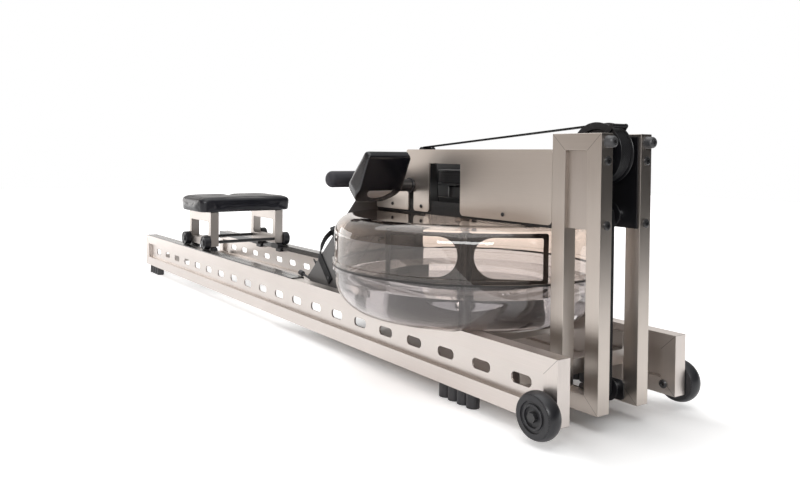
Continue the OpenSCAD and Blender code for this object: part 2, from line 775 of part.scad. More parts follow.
// ladder buckle on top of each arch and a rivet disc on each cheek
module strap_buckles() {
  color("#1b1b1e") both() fb() {
    strap_place() difference() {
      translate([-12, -web_strap / 2 - 4, strap_hi - 4]) cube([24, web_strap + 8, 10.5]);
      strap_band(web_strap + 0.6, gap, gap, 8);
      for (x = [-8, 2]) translate([x, -web_strap / 2 + 2, strap_hi - 10]) cube([6, web_strap - 4, 20]);
    }
    translate([89, foot_y + gap + wt, -68]) rotate([-90, 0, 0]) cylinder(r = 4.5, h = 1.6, $fn = 32);
  }
}
module heel_rest(s) {
  color("#2c2c30") fb() side(s) translate([12, heel_y, gap]) difference() {
    union() {
      xy_plate(heel_w, 74, 6);
      // heel cup at the lower end
      intersection() {
        difference() {
          translate([heel_w / 2, 0, 0]) cylinder(r = heel_w / 2, h = 30);
          translate([heel_w / 2, 0, 6]) cylinder(r = heel_w / 2 - 4, h = 42);
        }
        bx([0, -heel_w / 2, 0], [cup_d, heel_w / 2, 42]);
      }
    }
    translate([60, 0, -1]) cylinder(r = 9, h = 8);
  }
}
module xy_plate(w, l, t) { linear_extrude(t) rr([0, -w / 2], [l, w / 2], 12); }
module heel_rest_r() { heel_rest(-1); }
module heel_rest_l() { heel_rest(1); }

// bumpers that stop the seat: two on rods at the footboard, two on the track ends
stop_x = fb_x + 29.5;
stop_y = foot_y - foot_t - gap - 3;
module stop_rod(r, a, b) {
  translate([stop_x, stop_y, beam_top + 3.6]) rotate([0, -80, 0]) translate([0, 0, a]) cylinder(r = r, h = b - a);
}
module seat_stops() {
  color("#141416") both() {
    stop_rod(3, 0, 70);
    stop_rod(7, 66.6, 82.6);
    bx([stop_x - 7, foot_y - foot_t - 16, beam_top - 1], [stop_x + 6, foot_y - foot_t, beam_top + 11]);
    bx([track_b, in_y - 16, rail_top - 24], [track_b + 22.5, in_y, rail_top - 14.3]);
  }
}

// transport wheels on bolts through the mitred corners
module wheel(s) {
  y1 = out_y + 2;
  color("#1a1a1c") side(s) translate([wh_x, y1, wh_z]) rotate([-90, 0, 0]) difference() {
    rotate_extrude() difference() {
      intersection() {
        square([wheel_r, wheel_w]);
        translate([wheel_r - 24, wheel_w / 2]) circle(r = 24);
      }
      translate([0, wheel_w - 4]) square([wheel_r * 0.42, 6]);
      translate([wheel_r * 0.52, wheel_w - 3]) square([wheel_r * 0.12, 6]);
      translate([0, -2]) square([wheel_r * 0.42, 4]);
    }
    translate([0, 0, -1]) cylinder(r = bolt_r + run, h = wheel_w + 2);
  }
  color("#1a1a1c") side(s) translate([wh_x, y1, wh_z]) rotate([-90, 0, 0]) difference() {
    translate([0, 0, 2]) cylinder(r = wheel_r - 14, h = wheel_w - 6);
    translate([0, 0, -1]) cylinder(r = bolt_r + run, h = wheel_w + 2);
  }
}
module wheel_r_side() { wheel(-1); }
module wheel_l_side() { wheel(1); }
module wheel_bolts() {
  yo = out_y + 2 + wheel_w - 4 + gap;
  color("#2a2a2d") both() {
    translate([wh_x, in_y, wh_z]) rotate([90, 0, 0]) button_bolt(4, 2);
    cy(bolt_r, wh_x, in_y, yo + 2, wh_z);
    cy(bolt_r + 4, wh_x, out_y, out_y + 3.5, wh_z);
    translate([wh_x, yo + 7, wh_z]) rotate([90, 0, 0]) cylinder(r = bolt_r * 1.8, h = 7, $fn = 6);
  }
}

// handle
module handle_bar() {
  color("#8a8a8e") cy(bar_r, hd_x, -handle_len / 2 + 2, handle_len / 2 - 2, hd_z);
}
module handle_grips() {
  color("#1e1e21") both() translate([hd_x, 0, hd_z]) rotate([-90, 0, 0]) difference() {
    union() {
      translate([0, 0, 34]) cylinder(r = grip_r, h = handle_len / 2 - 34 - 13);
      // domed end
      translate([0, 0, handle_len / 2 - 13]) rotate_extrude() intersection() {
        union() {
          square([grip_r - 13, 13]);
          translate([grip_r - 13, 0]) circle(r = 13);
        }
        square([grip_r, 13]);
      }
      translate([0, 0, 31]) cylinder(r1 = grip_r - 3, r2 = grip_r, h = 3);
    }
    translate([0, 0, 20]) cylinder(r = bar_r + 0.1, h = handle_len / 2 - 22);
  }
}
// moulded yoke that the strap is sewn to
module handle_yoke() {
  color("#19191c") difference() {
    union() {
      cy(bar_r + 6, hd_x, -17, 17, hd_z);
      translate([hd_x, 0, hd_z]) rotate([0, -atan2(14, 30), 0]) bx([0, -17, -5], [norm([30, 14]), 17, 5]);
    }
    cy(bar_r + 0.1, hd_x, -30, 30, hd_z);
  }
}

// seat
function rrp(a, w, d, n) = let(c = cos(a), s = sin(a), k = pow(pow(abs(c), n) + pow(abs(s), n), -1 / n))
  [d / 2 * c * k, w / 2 * s * k];
pad_n = 56;
// more points near the corners than along the sides
function pad_ang(i) = let(o = floor(i / 7), f = (i % 7) / 7)
  45 * (o + (o % 2 == 0 ? 1 - pow(1 - f, 1.7) : pow(f, 1.7)));
// rings: [share of the outline, height share]; the sides draw in below the rim
pad_rings = [[0.5, 0], [0.955, 0], [0.975, 0.05], [0.985, 0.2], [0.992, 0.4], [1, 0.6], [1, 0.74],
  [0.985, 0.86], [0.955, 0.93], [0.9, 0.96], [0.82, 0.98], [0.72, 1], [0.6, 1], [0.48, 1], [0.35, 1],
  [0.22, 1], [0.1, 1]];
// crown with two hollows for the sit bones, a rear channel and a raised back edge
function pad_top(x, y) = let(u = 2 * x / pad_d, v = 2 * y / pad_w)
  -5.5 * exp(-pow((abs(v) - 0.42) / 0.24, 2) - pow((u + 0.05) / 0.45, 2))
  - 6 * exp(-pow(v / 0.09, 2)) * (u < 0.3 ? min(1, (0.3 - u) / 0.5) : 0)
  - 2.5 * pow(max(0, u), 2) - 1.5 * pow(v, 4);
pad_pts = [for (r = pad_rings, i = [0:pad_n - 1]) let(p = rrp(pad_ang(i), pad_w, pad_d, 8) * r[0])
  [p[0], p[1], pad_h * r[1] + (r[1] > 0.8 ? pad_top(p[0], p[1]) * (r[1] - 0.8) / 0.2 : 0)]];
pad_m = len(pad_rings);
module seat_pad() {
  all = concat(pad_pts, [[0, 0, 0], [0, 0, pad_h + pad_top(0, 0)]]);
  side_f = [for (k = [0:pad_m - 2], i = [0:pad_n - 1]) let(a = k * pad_n + i, b = k * pad_n + (i + 1) % pad_n)
    each [[a, a + pad_n, b + pad_n], [a, b + pad_n, b]]];
  caps = [for (i = [0:pad_n - 1]) let(j = (i + 1) % pad_n, t = (pad_m - 1) * pad_n)
    each [[pad_m * pad_n, i, j], [pad_m * pad_n + 1, t + j, t + i]]];
  color("#232329") translate([-seat_x, 0, pad_z]) polyhedron(points = all, faces = concat(side_f, caps), convexity = 4);
}
module seat_frame2d() {
  difference() {
    translate([-frame_l / 2, fr_bot]) square([frame_l, fr_top - fr_bot]);
    rr([-frame_l / 2 + leg_t, fr_bot + beam_h], [frame_l / 2 - leg_t, fr_top - 33], 4);
    for (s = [-1, 1]) translate([s * ax_dx, ax_z]) circle(r = 4.1);
  }
}
module seat_frames() {
  color("#b9b7b4") translate([-seat_x, 0, 0]) both() xz(leg_in, leg_out) seat_frame2d();
}
module seat_axles() {
  color("#3c3c40") for (s = [-1, 1]) {
    x = -seat_x + s * ax_dx;
    cy(4, x, -rol_in - roller_w - 3, rol_in + roller_w + 3, ax_z);
    cy(5.5, x, -leg_in, leg_in, ax_z);
    for (t = [-1, 1]) cy(9, x, t > 0 ? rol_in + roller_w + gap : -rol_in - roller_w - 3,
      t > 0 ? rol_in + roller_w + 3 : -rol_in - roller_w - gap, ax_z);
  }
}
module seat_shoes() {
  color("#131315") both() for (s = [-1, 1]) translate([-seat_x + s * (frame_l / 2 - 20), 0, 0]) {
    xz(in_y - 29, in_y - 8 - gap) {
      rr([-27, rail_top - 9], [27, fr_bot - 3], 8);
      translate([-15, fr_bot - 20]) square([30, 20]);
    }
    xz(in_y - 14, in_y - 8 - gap) rr([-18, rail_top - 22], [18, rail_top - 2], 3);
    // hook under the inner leg of the strip
    xz(in_y - 12, in_y - 1) rr([-18, rail_top - 22], [18, rail_top - 14 - gap], 3);
  }
}
// profile in Y-Z, extruded over x1..x2
module xz2(x1, x2) { translate([x1, 0, 0]) rotate([90, 0, 90]) linear_extrude(x2 - x1) children(); }
module roller(sx, s) {
  color("#17171a") translate([-seat_x + sx * ax_dx, 0, ax_z]) side(s) translate([0, rol_in, 0]) rotate([-90, 0, 0])
    difference() {
      union() {
        translate([0, 0, 1.5]) cylinder(r = roller_r, h = roller_w - 3);
        cylinder(r1 = roller_r - 1.5, r2 = roller_r, h = 1.5);
        translate([0, 0, roller_w - 1.5]) cylinder(r1 = roller_r, r2 = roller_r - 1.5, h = 1.5);
      }
      translate([0, 0, roller_w - 2]) rotate_extrude() translate([13, 0]) square([7, 3]);
      translate([0, 0, -1]) cylinder(r = 4 + run, h = roller_w + 2);
    }
}
module roller_front_r() { roller(1, -1); }
module roller_front_l() { roller(1, 1); }
module roller_rear_r() { roller(-1, -1); }
module roller_rear_l() { roller(-1, 1); }

// monitor
module monitor_arm() {
  color("#2b2b2f") {
    cy(arm_r, arm_x, -dk_out - mon_gap + 0.5, -dk_in + 25, arm_z);
    cy(arm_r + 3, arm_x, -dk_out - 6, -dk_out - gap, arm_z);
    cy(10, arm_x, mon_y, -dk_out - mon_gap + 1, arm_z);
  }
}
module mon() { translate([arm_x, mon_y, arm_z]) rotate([0, -mon_a, 0]) children(); }
mon_low = -55;
mon_up = 86;
mon_sr = (pow(mon_w / 2, 2) + mon_sag * mon_sag) / (2 * mon_sag);
// half-round foot, straight sides and two rounded upper corners
function mon_pts(o) = let(w = mon_w / 2 - o, r = mon_sr - o, c = mon_low + mon_sr, a = asin(min(1, w / r)), k = 9 - o,
  u = mon_up - o) concat(
  [for (i = [-24:24]) [c - r * cos(a * i / 24), r * sin(a * i / 24)]],
  [for (i = [0:6]) [u - k + k * sin(15 * i), w - k + k * cos(15 * i)]],
  [for (i = [0:6]) [u - k + k * cos(15 * i), -w + k - k * sin(15 * i)]]);
module mon_shape(o) { polygon(mon_pts(o)); }
// side outline: thin at the top, bulged at the foot
mon_side = [[84, 5], [6.5, -21], [-40, -10], [-55, 2], [-55, 12], [-50, 18], [-42, mon_front], [83, mon_front], [mon_up, 20]];
module monitor_housing() {
  color("#1a1a1f") mon() difference() {
    intersection() {
      translate([0, mon_w / 2, 0]) rotate([90, 0, 0]) linear_extrude(mon_w) polygon(mon_side);
      translate([0, 0, -40]) linear_extrude(80) mon_shape(0);
    }
    // recess of the face
    translate([0, 0, mon_front - 2]) linear_extrude(10) face2d(0);
    translate([0, 0, 0]) rotate([-90, 0, 0]) translate([0, 0, -1]) cylinder(r = 10 + run, h = mon_w);
    // wells of the buttons
    for (i = [-1:1]) translate([btn_x, i * 24, mon_front - 2 - 3]) cylinder(r = btn_r + gap, h = 10);
    label_cut();
  }
}
btn_x = 0;
module face2d(o) { rr([-12 + o, -mon_w / 2 + 8 + o], [78 - o, mon_w / 2 - 8 - o], 6); }
module monitor_face() {
  color("#0e1013") mon() difference() {
    translate([0, 0, mon_front - 2]) linear_extrude(2.6) face2d(gap);
    for (i = [-1:1]) translate([btn_x, i * 24, mon_front - 10]) cylinder(r = btn_r + gap, h = 20);
  }
}
module button(i) {
  color("#c9c9cc") mon() translate([btn_x, i * 24, mon_front - 3.2]) cylinder(r = btn_r, h = btn_h + 2.6);
}
module button_a() { button(-1); }
module button_b() { button(0); }
module button_c() { button(1); }
// half-moon plate on the bulged foot
lab_a = atan2(11, 46.5);
lab_r = 31;
module label_at() { translate([6.5, 0, -21]) rotate([0, lab_a, 0]) translate([-2, 0, 0]) children(); }
module half_moon(r, h) {
  intersection() {
    cylinder(r = r, h = h);
    translate([-r - 1, -r - 1, -1]) cube([r + 1, 2 * r + 2, h + 2]);
  }
}
module label_cut() {
  label_at() translate([gap, 0, -4]) half_moon(lab_r + 2 * gap, 4 + 1.3);
}
module monitor_label() {
  color("#c4c4c6") mon() label_at() half_moon(lab_r, 1);
}

module place() { translate([x_mid, 0, foot_drop]) children(); }
place() rail_frame_r();
place() rail_frame_l();
place() rail_webs();
place() track_strips();
place() rail_feet();
place() cross_members();
place() tower_frame_r();
place() tower_frame_l();
place() tower_panels();
place() tower_liners();
place() tower_bumpers();
place() socket_bolts();
place() pulley_axles();
place() strap_guides();
place() deck_plate_r();
place() deck_plate_l();
place() deck_core();
place() deck_screws();
place() tank_upper();
place() tank_lower();
place() tank_gasket();
place() tank_water();
place() footboard();
place() foot_strap_r();
place() foot_strap_l();
place() strap_buckles();
place() seat_stops();
place() recoil_strap();
place() bungee_cord();
place() drive_strap();
place() wheel_bolts();
place() handle_strap();
place() handle_bar();
place() handle_grips();
place() handle_yoke();
place() top_pulley();
place() mid_pulley();
place() bottom_pulley();
place() strap_drum();
place() paddle_shaft();
place() paddle();
place() seat_pad();
place() seat_frames();
place() seat_axles();
place() seat_shoes();
place() roller_front_r();
place() roller_front_l();
place() roller_rear_r();
place() roller_rear_l();
place() wheel_r_side();
place() wheel_l_side();
place() monitor_arm();
place() monitor_housing();
place() monitor_face();
place() monitor_label();
place() button_a();
place() button_b();
place() button_c();
place() heel_rest_r();
place() heel_rest_l();
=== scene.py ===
# %% [markdown]
# # Dressing the water rowing machine
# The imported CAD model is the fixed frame. This notebook gives every solid its finish, swaps
# the soft solids (seat pad, straps, cord) for modelled ones, and adds light and a camera.

import math

import bmesh
import bpy
import numpy as np
from mathutils import Matrix, Vector


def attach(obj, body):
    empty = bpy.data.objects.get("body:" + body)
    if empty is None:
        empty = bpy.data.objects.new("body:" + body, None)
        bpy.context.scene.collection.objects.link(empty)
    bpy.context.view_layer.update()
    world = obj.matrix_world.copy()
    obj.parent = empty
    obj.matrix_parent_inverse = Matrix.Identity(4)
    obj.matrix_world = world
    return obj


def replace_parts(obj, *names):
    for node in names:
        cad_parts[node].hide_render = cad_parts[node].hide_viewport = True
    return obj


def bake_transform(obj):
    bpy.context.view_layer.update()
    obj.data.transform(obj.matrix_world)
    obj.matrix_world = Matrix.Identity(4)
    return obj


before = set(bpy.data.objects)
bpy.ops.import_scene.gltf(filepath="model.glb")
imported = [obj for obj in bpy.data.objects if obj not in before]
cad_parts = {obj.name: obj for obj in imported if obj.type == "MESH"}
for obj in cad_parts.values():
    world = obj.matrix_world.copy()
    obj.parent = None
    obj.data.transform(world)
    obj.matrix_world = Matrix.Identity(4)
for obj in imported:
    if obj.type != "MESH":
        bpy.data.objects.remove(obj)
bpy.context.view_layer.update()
# The CAD source counts X from the rail front and Z from the frame's reference plane; the
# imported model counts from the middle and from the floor.
XM, ZF = 1.054, 0.005
Y, Z = (0, 1, 0), (0, 0, 1)


def at(x, y, z):
    """A point of the CAD source, in millimetres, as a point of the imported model, in metres."""
    return Vector((x / 1000 + XM, y / 1000, z / 1000 + ZF))


# %% [markdown]
# ## Shader building blocks
# Small node groups hold what several finishes share: worn edges, brushed grain, mitre seams,
# woven threads, moulded grain and dust. Each group is made once, with named sockets.

# %% Shader helpers


def nd(tree, kind, ins=None, **props):
    """One node; sockets are linked where the value is a socket, and set where it is a number."""
    node = tree.nodes.new(kind)
    for key, value in props.items():
        setattr(node, key, value)
    for key, value in (ins or {}).items():
        socket = node.inputs[key]
        if isinstance(value, bpy.types.NodeSocket):
            tree.links.new(value, socket)
        else:
            socket.default_value = value
    return node


def mth(tree, op, a, b=0.0):
    """A Math node's result."""
    return nd(tree, "ShaderNodeMath", {0: a, 1: b}, operation=op).outputs[0]


def vec(tree, op, a, b=(0.0, 0.0, 0.0)):
    """A Vector Math node."""
    return nd(tree, "ShaderNodeVectorMath", {0: a, 1: b}, operation=op)


def ramp(tree, value, lo, hi, out_lo=0.0, out_hi=1.0):
    """value from lo..hi mapped to out_lo..out_hi, clamped."""
    ins = {0: value, 1: lo, 2: hi, 3: out_lo, 4: out_hi}
    return nd(tree, "ShaderNodeMapRange", ins).outputs[0]


def noise(tree, vector, scale, detail=3.0, rough=0.5):
    """A Noise Texture's grey value."""
    ins = {"Vector": vector, "Scale": scale, "Detail": detail, "Roughness": rough}
    return nd(tree, "ShaderNodeTexNoise", ins).outputs[0]


def scaled(tree, vector, x, y, z):
    """vector times (x, y, z)."""
    return vec(tree, "MULTIPLY", vector, (x, y, z)).outputs[0]


def new_group(name, ins, outs):
    """A shader group with inputs (name, kind, default) and named outputs."""
    group = bpy.data.node_groups.new(name, "ShaderNodeTree")
    for label, kind, default in ins:
        socket = group.interface.new_socket(label, in_out="INPUT", socket_type=kind)
        if default is not None:
            socket.default_value = default
    for label, kind in outs:
        group.interface.new_socket(label, in_out="OUTPUT", socket_type=kind)
    return group, group.nodes.new("NodeGroupInput"), group.nodes.new("NodeGroupOutput")


F, V = "NodeSocketFloat", "NodeSocketVector"
PLACE = ("Vector", V, None)
TUBE_SIDE = 0.0305  # a mitre seam ends where the square tube's side does


def make_wear():
    """Bright where a narrow bevel would turn the normal, broken up by noise: handled edges."""
    ins = [PLACE, ("Width", F, 0.0015), ("Breakup", F, 60.0)]
    g, i, o = new_group("edge_wear", ins, [("Mask", F)])
    bevel = nd(g, "ShaderNodeBevel", {"Radius": i.outputs["Width"]}, samples=4)
    geo = nd(g, "ShaderNodeNewGeometry")
    dot = vec(g, "DOT_PRODUCT", bevel.outputs[0], geo.outputs["Normal"])
    edge = ramp(g, dot.outputs["Value"], 0.99, 0.86)
    grit = ramp(g, noise(g, i.outputs["Vector"], i.outputs["Breakup"], 4.0), 0.35, 0.65)
    g.links.new(mth(g, "MULTIPLY", edge, grit), o.inputs["Mask"])
    return g


def make_brushed():
    """Fine scratches along X or, where Upright is 1, along Z, plus slow cloudiness."""
    ins, outs = [PLACE, ("Upright", F, 0.0)], [("Grain", F), ("Cloud", F)]
    g, i, o = new_group("brushed_grain", ins, outs)
    fine, slow = 1800, 14
    flat = noise(g, scaled(g, i.outputs["Vector"], slow, fine, fine), 1.0, 2.0)
    tall = noise(g, scaled(g, i.outputs["Vector"], fine, fine, slow), 1.0, 2.0)
    mix = nd(g, "ShaderNodeMix", {"Factor": i.outputs["Upright"], 2: flat, 3: tall})
    g.links.new(mix.outputs[0], o.inputs["Grain"])
    g.links.new(noise(g, i.outputs["Vector"], 7.0, 4.0, 0.6), o.inputs["Cloud"])
    return g


def make_ring():
    """For a welded ring in X-Z: where its uprights are, and the thin mitre seam at each corner."""
    ins = [PLACE, ("X1", F, 0.0), ("X2", F, 1.0), ("Z1", F, 0.0), ("Z2", F, 1.0)]
    g, i, o = new_group("mitre_ring", ins, [("Upright", F), ("Seam", F)])
    sep = nd(g, "ShaderNodeSeparateXYZ", {0: i.outputs["Vector"]})

    def inward(axis, lo, hi):
        """The distance to the nearer of two outer sides."""
        from_lo = mth(g, "SUBTRACT", sep.outputs[axis], i.outputs[lo])
        to_hi = mth(g, "SUBTRACT", i.outputs[hi], sep.outputs[axis])
        return mth(g, "MINIMUM", from_lo, to_hi)

    u, v = inward(0, "X1", "X2"), inward(2, "Z1", "Z2")
    g.links.new(ramp(g, mth(g, "SUBTRACT", v, u), -0.0002, 0.0002), o.inputs["Upright"])
    near = mth(g, "ABSOLUTE", mth(g, "SUBTRACT", u, v))
    inside = mth(g, "LESS_THAN", u, TUBE_SIDE)
    g.links.new(mth(g, "MULTIPLY", ramp(g, near, 0.0009, 0.0003), inside), o.inputs["Seam"])
    return g


def make_weave():
    """Plain woven webbing from a strap's own UV map, which counts metres along and across."""
    ins, outs = [("Along", F, 1500.0), ("Across", F, 1100.0)], [("Height", F), ("Rib", F)]
    g, i, o = new_group("webbing_weave", ins, outs)
    uv = nd(g, "ShaderNodeUVMap", uv_map="UVMap")
    sep = nd(g, "ShaderNodeSeparateXYZ", {0: uv.outputs[0]})
    a = mth(g, "SINE", mth(g, "MULTIPLY", sep.outputs[0], i.outputs["Along"]))
    b = mth(g, "SINE", mth(g, "MULTIPLY", sep.outputs[1], i.outputs["Across"]))
    g.links.new(mth(g, "MULTIPLY", a, b), o.inputs["Height"])
    g.links.new(ramp(g, b, -1.0, 1.0), o.inputs["Rib"])
    return g


def make_moulded():
    """Fine grain of moulded plastic and rubber."""
    ins, outs = [PLACE, ("Scale", F, 900.0)], [("Height", F), ("Cloud", F)]
    g, i, o = new_group("moulded_grain", ins, outs)
    g.links.new(noise(g, i.outputs["Vector"], i.outputs["Scale"], 2.0), o.inputs["Height"])
    g.links.new(noise(g, i.outputs["Vector"], 14.0, 3.0), o.inputs["Cloud"])
    return g


def make_dust():
    """Thin dust on what faces up, thicker in blotches."""
    g, i, o = new_group("settled_dust", [PLACE, ("Amount", F, 0.2)], [("Mask", F)])
    geo = nd(g, "ShaderNodeNewGeometry")
    sep = nd(g, "ShaderNodeSeparateXYZ", {0: geo.outputs["Normal"]})
    up = ramp(g, sep.outputs[2], 0.5, 0.98)
    patch = ramp(g, noise(g, i.outputs["Vector"], 9.0, 5.0, 0.6), 0.35, 0.75)
    settled = mth(g, "MULTIPLY", up, patch)
    g.links.new(mth(g, "MULTIPLY", settled, i.outputs["Amount"]), o.inputs["Mask"])
    return g


WEAR, BRUSHED, RING = make_wear(), make_brushed(), make_ring()
WEAVE, MOULD, DUST = make_weave(), make_moulded(), make_dust()


def use(tree, group, ins=None):
    """A group node in a material."""
    node = tree.nodes.new("ShaderNodeGroup")
    node.node_tree = group
    for key, value in (ins or {}).items():
        if isinstance(value, bpy.types.NodeSocket):
            tree.links.new(value, node.inputs[key])
        else:
            node.inputs[key].default_value = value
    return node


def material(name):
    """An empty node material: (material, tree, Principled node, Object coordinates)."""
    m = bpy.data.materials.new(name)
    m.use_nodes = True
    t = m.node_tree
    p = t.nodes["Principled BSDF"]
    co = nd(t, "ShaderNodeTexCoord").outputs["Object"]
    return m, t, p, co


def fixed(principled, **values):
    """Plain values for Principled inputs; an underscore stands for a space."""
    for key, value in values.items():
        principled.inputs[key.replace("_", " ")].default_value = value


def shade(colour, gain, lift=0.0):
    """A colour times gain plus lift, at most 1."""
    return tuple(min(1.0, c * gain + lift) for c in colour)


def blend_colour(tree, factor, a, b):
    """Colour a turning into b by factor."""
    m = nd(tree, "ShaderNodeMix", data_type="RGBA")
    for socket, value in ((m.inputs[0], factor), (m.inputs[6], a), (m.inputs[7], b)):
        if isinstance(value, bpy.types.NodeSocket):
            tree.links.new(value, socket)
        elif socket == m.inputs[0]:
            socket.default_value = value
        else:
            socket.default_value = (*value, 1.0)
    return m.outputs[2]


def bump(tree, principled, height, strength, distance):
    """Bump into the shader's normal."""
    b = nd(tree, "ShaderNodeBump", {"Strength": strength, "Distance": distance, "Height": height})
    tree.links.new(b.outputs[0], principled.inputs["Normal"])


# %% [markdown]
# ## Finishes
# Metals: brushed stainless with its grain turning at the mitres. Blacks: moulded nylon,
# rubber, foam, powder coat, webbing and vinyl, each with its own grain and gloss.

# %% Metals
STEEL_DUST, BLACK_DUST = (0.75, 0.73, 0.7), (0.42, 0.41, 0.4)
VINYL_DUST, TANK_DUST = (0.3, 0.3, 0.3), (0.8, 0.79, 0.78)


def steel(name, colour, rough, ring=None, upright=0.0, dirt=0.12):
    """Brushed stainless; ring is a welded frame's x1, x2, z1, z2, where the grain turns."""
    m, t, p, co = material(name)
    seam = 0.0
    if ring:
        r = use(t, RING, {"Vector": co, **dict(zip(("X1", "X2", "Z1", "Z2"), ring))})
        upright, seam = r.outputs["Upright"], r.outputs["Seam"]
    b = use(t, BRUSHED, {"Vector": co, "Upright": upright})
    grain, cloud = b.outputs["Grain"], b.outputs["Cloud"]
    dust = use(t, DUST, {"Vector": co, "Amount": 0.25})
    base = blend_colour(t, ramp(t, grain, 0.3, 0.7), shade(colour, 1 - dirt), colour)
    base = blend_colour(t, ramp(t, cloud, 0.3, 0.7, 0.0, 0.35), base, shade(colour, 0.9))
    if ring:
        base = blend_colour(t, seam, base, shade(colour, 0.45))
    base = blend_colour(t, dust.outputs[0], base, STEEL_DUST)
    t.links.new(base, p.inputs["Base Color"])
    fixed(p, Metallic=1.0, Anisotropic=0.35)
    fine = ramp(t, grain, 0.2, 0.8, rough - 0.02, rough + 0.03)
    slow = ramp(t, cloud, 0.3, 0.7, -0.03, 0.04)
    t.links.new(mth(t, "ADD", fine, slow), p.inputs["Roughness"])
    height = mth(t, "SUBTRACT", grain, mth(t, "MULTIPLY", seam, 3.0)) if ring else grain
    bump(t, p, height, 0.012, 0.0003)
    return m


RAIL_RING = (-2.125 + XM, 0.0 + XM, 0.024 + ZF, 0.138 + ZF)
TOWER_RING = (-0.112 + XM, -0.004 + XM, 0.024 + ZF, 0.509 + ZF)
M_RAIL = steel("rail_brushed", (0.68, 0.625, 0.59), 0.36, RAIL_RING, dirt=0.08)
M_WEB = steel("web_brushed", (0.68, 0.63, 0.595), 0.34, dirt=0.08)
M_CROSS = steel("cross_brushed", (0.5, 0.46, 0.43), 0.34)
M_TOWER = steel("tower_brushed", (0.56, 0.505, 0.46), 0.33, TOWER_RING, dirt=0.06)
M_PANEL = steel("panel_brushed", (0.54, 0.485, 0.445), 0.32, upright=1.0, dirt=0.06)
M_DECK = steel("deck_brushed", (0.61, 0.55, 0.5), 0.33, dirt=0.06)
M_SEATF = steel("seat_frame_satin", (0.5, 0.46, 0.43), 0.38, upright=1.0)
M_TURNED = steel("turned_steel", (0.5, 0.5, 0.51), 0.3)
M_BAR = steel("handle_tube", (0.42, 0.42, 0.43), 0.3)

# %% Plastics, rubber and coatings


def black(
    name, colour, rough, grain=900.0, strength=0.15, wear=0.35, dust=0.12, coat=0.0, worn=None
):
    """A moulded or coated piece: fine grain, edges worn paler, a little dust."""
    m, t, p, co = material(name)
    g = use(t, MOULD, {"Vector": co, "Scale": grain})
    w = use(t, WEAR, {"Vector": co, "Width": 0.0012, "Breakup": 90.0})
    d = use(t, DUST, {"Vector": co, "Amount": dust})
    cloud, rubbed = g.outputs["Cloud"], mth(t, "MULTIPLY", w.outputs[0], wear)
    base = blend_colour(t, ramp(t, cloud, 0.3, 0.7), colour, shade(colour, 1.35, 0.004))
    base = blend_colour(t, rubbed, base, worn or shade(colour, 3, 0.05))
    base = blend_colour(t, d.outputs[0], base, BLACK_DUST)
    t.links.new(base, p.inputs["Base Color"])
    t.links.new(ramp(t, cloud, 0.25, 0.75, rough - 0.05, rough + 0.06), p.inputs["Roughness"])
    fixed(p, Coat_Weight=coat, Coat_Roughness=0.12)
    bump(t, p, g.outputs["Height"], strength, 0.0003)
    return m


M_NYLON = black("black_nylon", (0.009, 0.009, 0.012), 0.34, dust=0.05, wear=0.2)
M_DECKCORE = black("deck_core_black", (0.005, 0.005, 0.007), 0.5, dust=0.03)
M_TRACK = black("track_strip", (0.03, 0.028, 0.027), 0.24, 600.0, 0.02, coat=0.5, dust=0.08)
M_RUBBER = black("foot_rubber", (0.045, 0.045, 0.05), 0.5, 500.0, 0.2)
M_GREY = black("bumper_grey", (0.085, 0.085, 0.09), 0.42, 500.0, 0.2)
M_TYRE = black("wheel_tyre", (0.018, 0.018, 0.022), 0.38, 700.0, 0.2, dust=0.06)
M_BOLT = black("bolt_black", (0.03, 0.03, 0.032), 0.3, 1200.0, 0.05)
M_BOARD = black("board_coat", (0.13, 0.127, 0.128), 0.45, 1400.0, 0.35)
M_HEEL = black("heel_rest_nylon", (0.03, 0.03, 0.033), 0.5, 700.0, 0.3)
M_FOAM = black("grip_foam", (0.035, 0.033, 0.042), 0.7, 1600.0, 0.6, wear=0.1, dust=0.06)
M_SHELL = black(
    "monitor_shell", (0.005, 0.005, 0.009), 0.22, 1500.0, 0.05, coat=0.25, dust=0.03, wear=0.08
)
M_PADDLE = black("paddle_dark", (0.02, 0.018, 0.018), 0.35, 800.0, 0.08, dust=0.04)
M_GASKET = black("tank_seal", (0.05, 0.05, 0.052), 0.45)
M_KEY = black(
    "key_grey", (0.42, 0.42, 0.43), 0.45, 900.0, 0.08, wear=0.1, worn=(0.7, 0.7, 0.7)
)
M_LABEL = black(
    "label_blank", (0.7, 0.7, 0.71), 0.4, 900.0, 0.06, wear=0.1, worn=(0.5, 0.5, 0.5)
)


def webbing(name, colour, rough=0.62):
    """Woven strap: weave bump, a lighter rib on each thread and a soft sheen."""
    m, t, p, co = material(name)
    w = use(t, WEAVE)
    cloud = noise(t, co, 40.0, 3.0)
    faded = ramp(t, cloud, 0.35, 0.7, 0.0, 0.4)
    base = blend_colour(t, w.outputs["Rib"], shade(colour, 0.7), shade(colour, 1.5))
    base = blend_colour(t, faded, base, shade(colour, 1.9, 0.004))
    t.links.new(base, p.inputs["Base Color"])
    t.links.new(ramp(t, cloud, 0.3, 0.7, rough - 0.06, rough + 0.08), p.inputs["Roughness"])
    fixed(p, Sheen_Weight=0.04, Specular_IOR_Level=0.25, Sheen_Roughness=0.4)
    bump(t, p, w.outputs["Height"], 0.5, 0.0003)
    return m


M_STRAP = webbing("strap_webbing", (0.009, 0.009, 0.011))
M_CORD = webbing("cord_sheath", (0.01, 0.01, 0.012))
M_THREAD = black("stitch_thread", (0.05, 0.05, 0.055), 0.6, 2000.0, 0.2, wear=0.0)


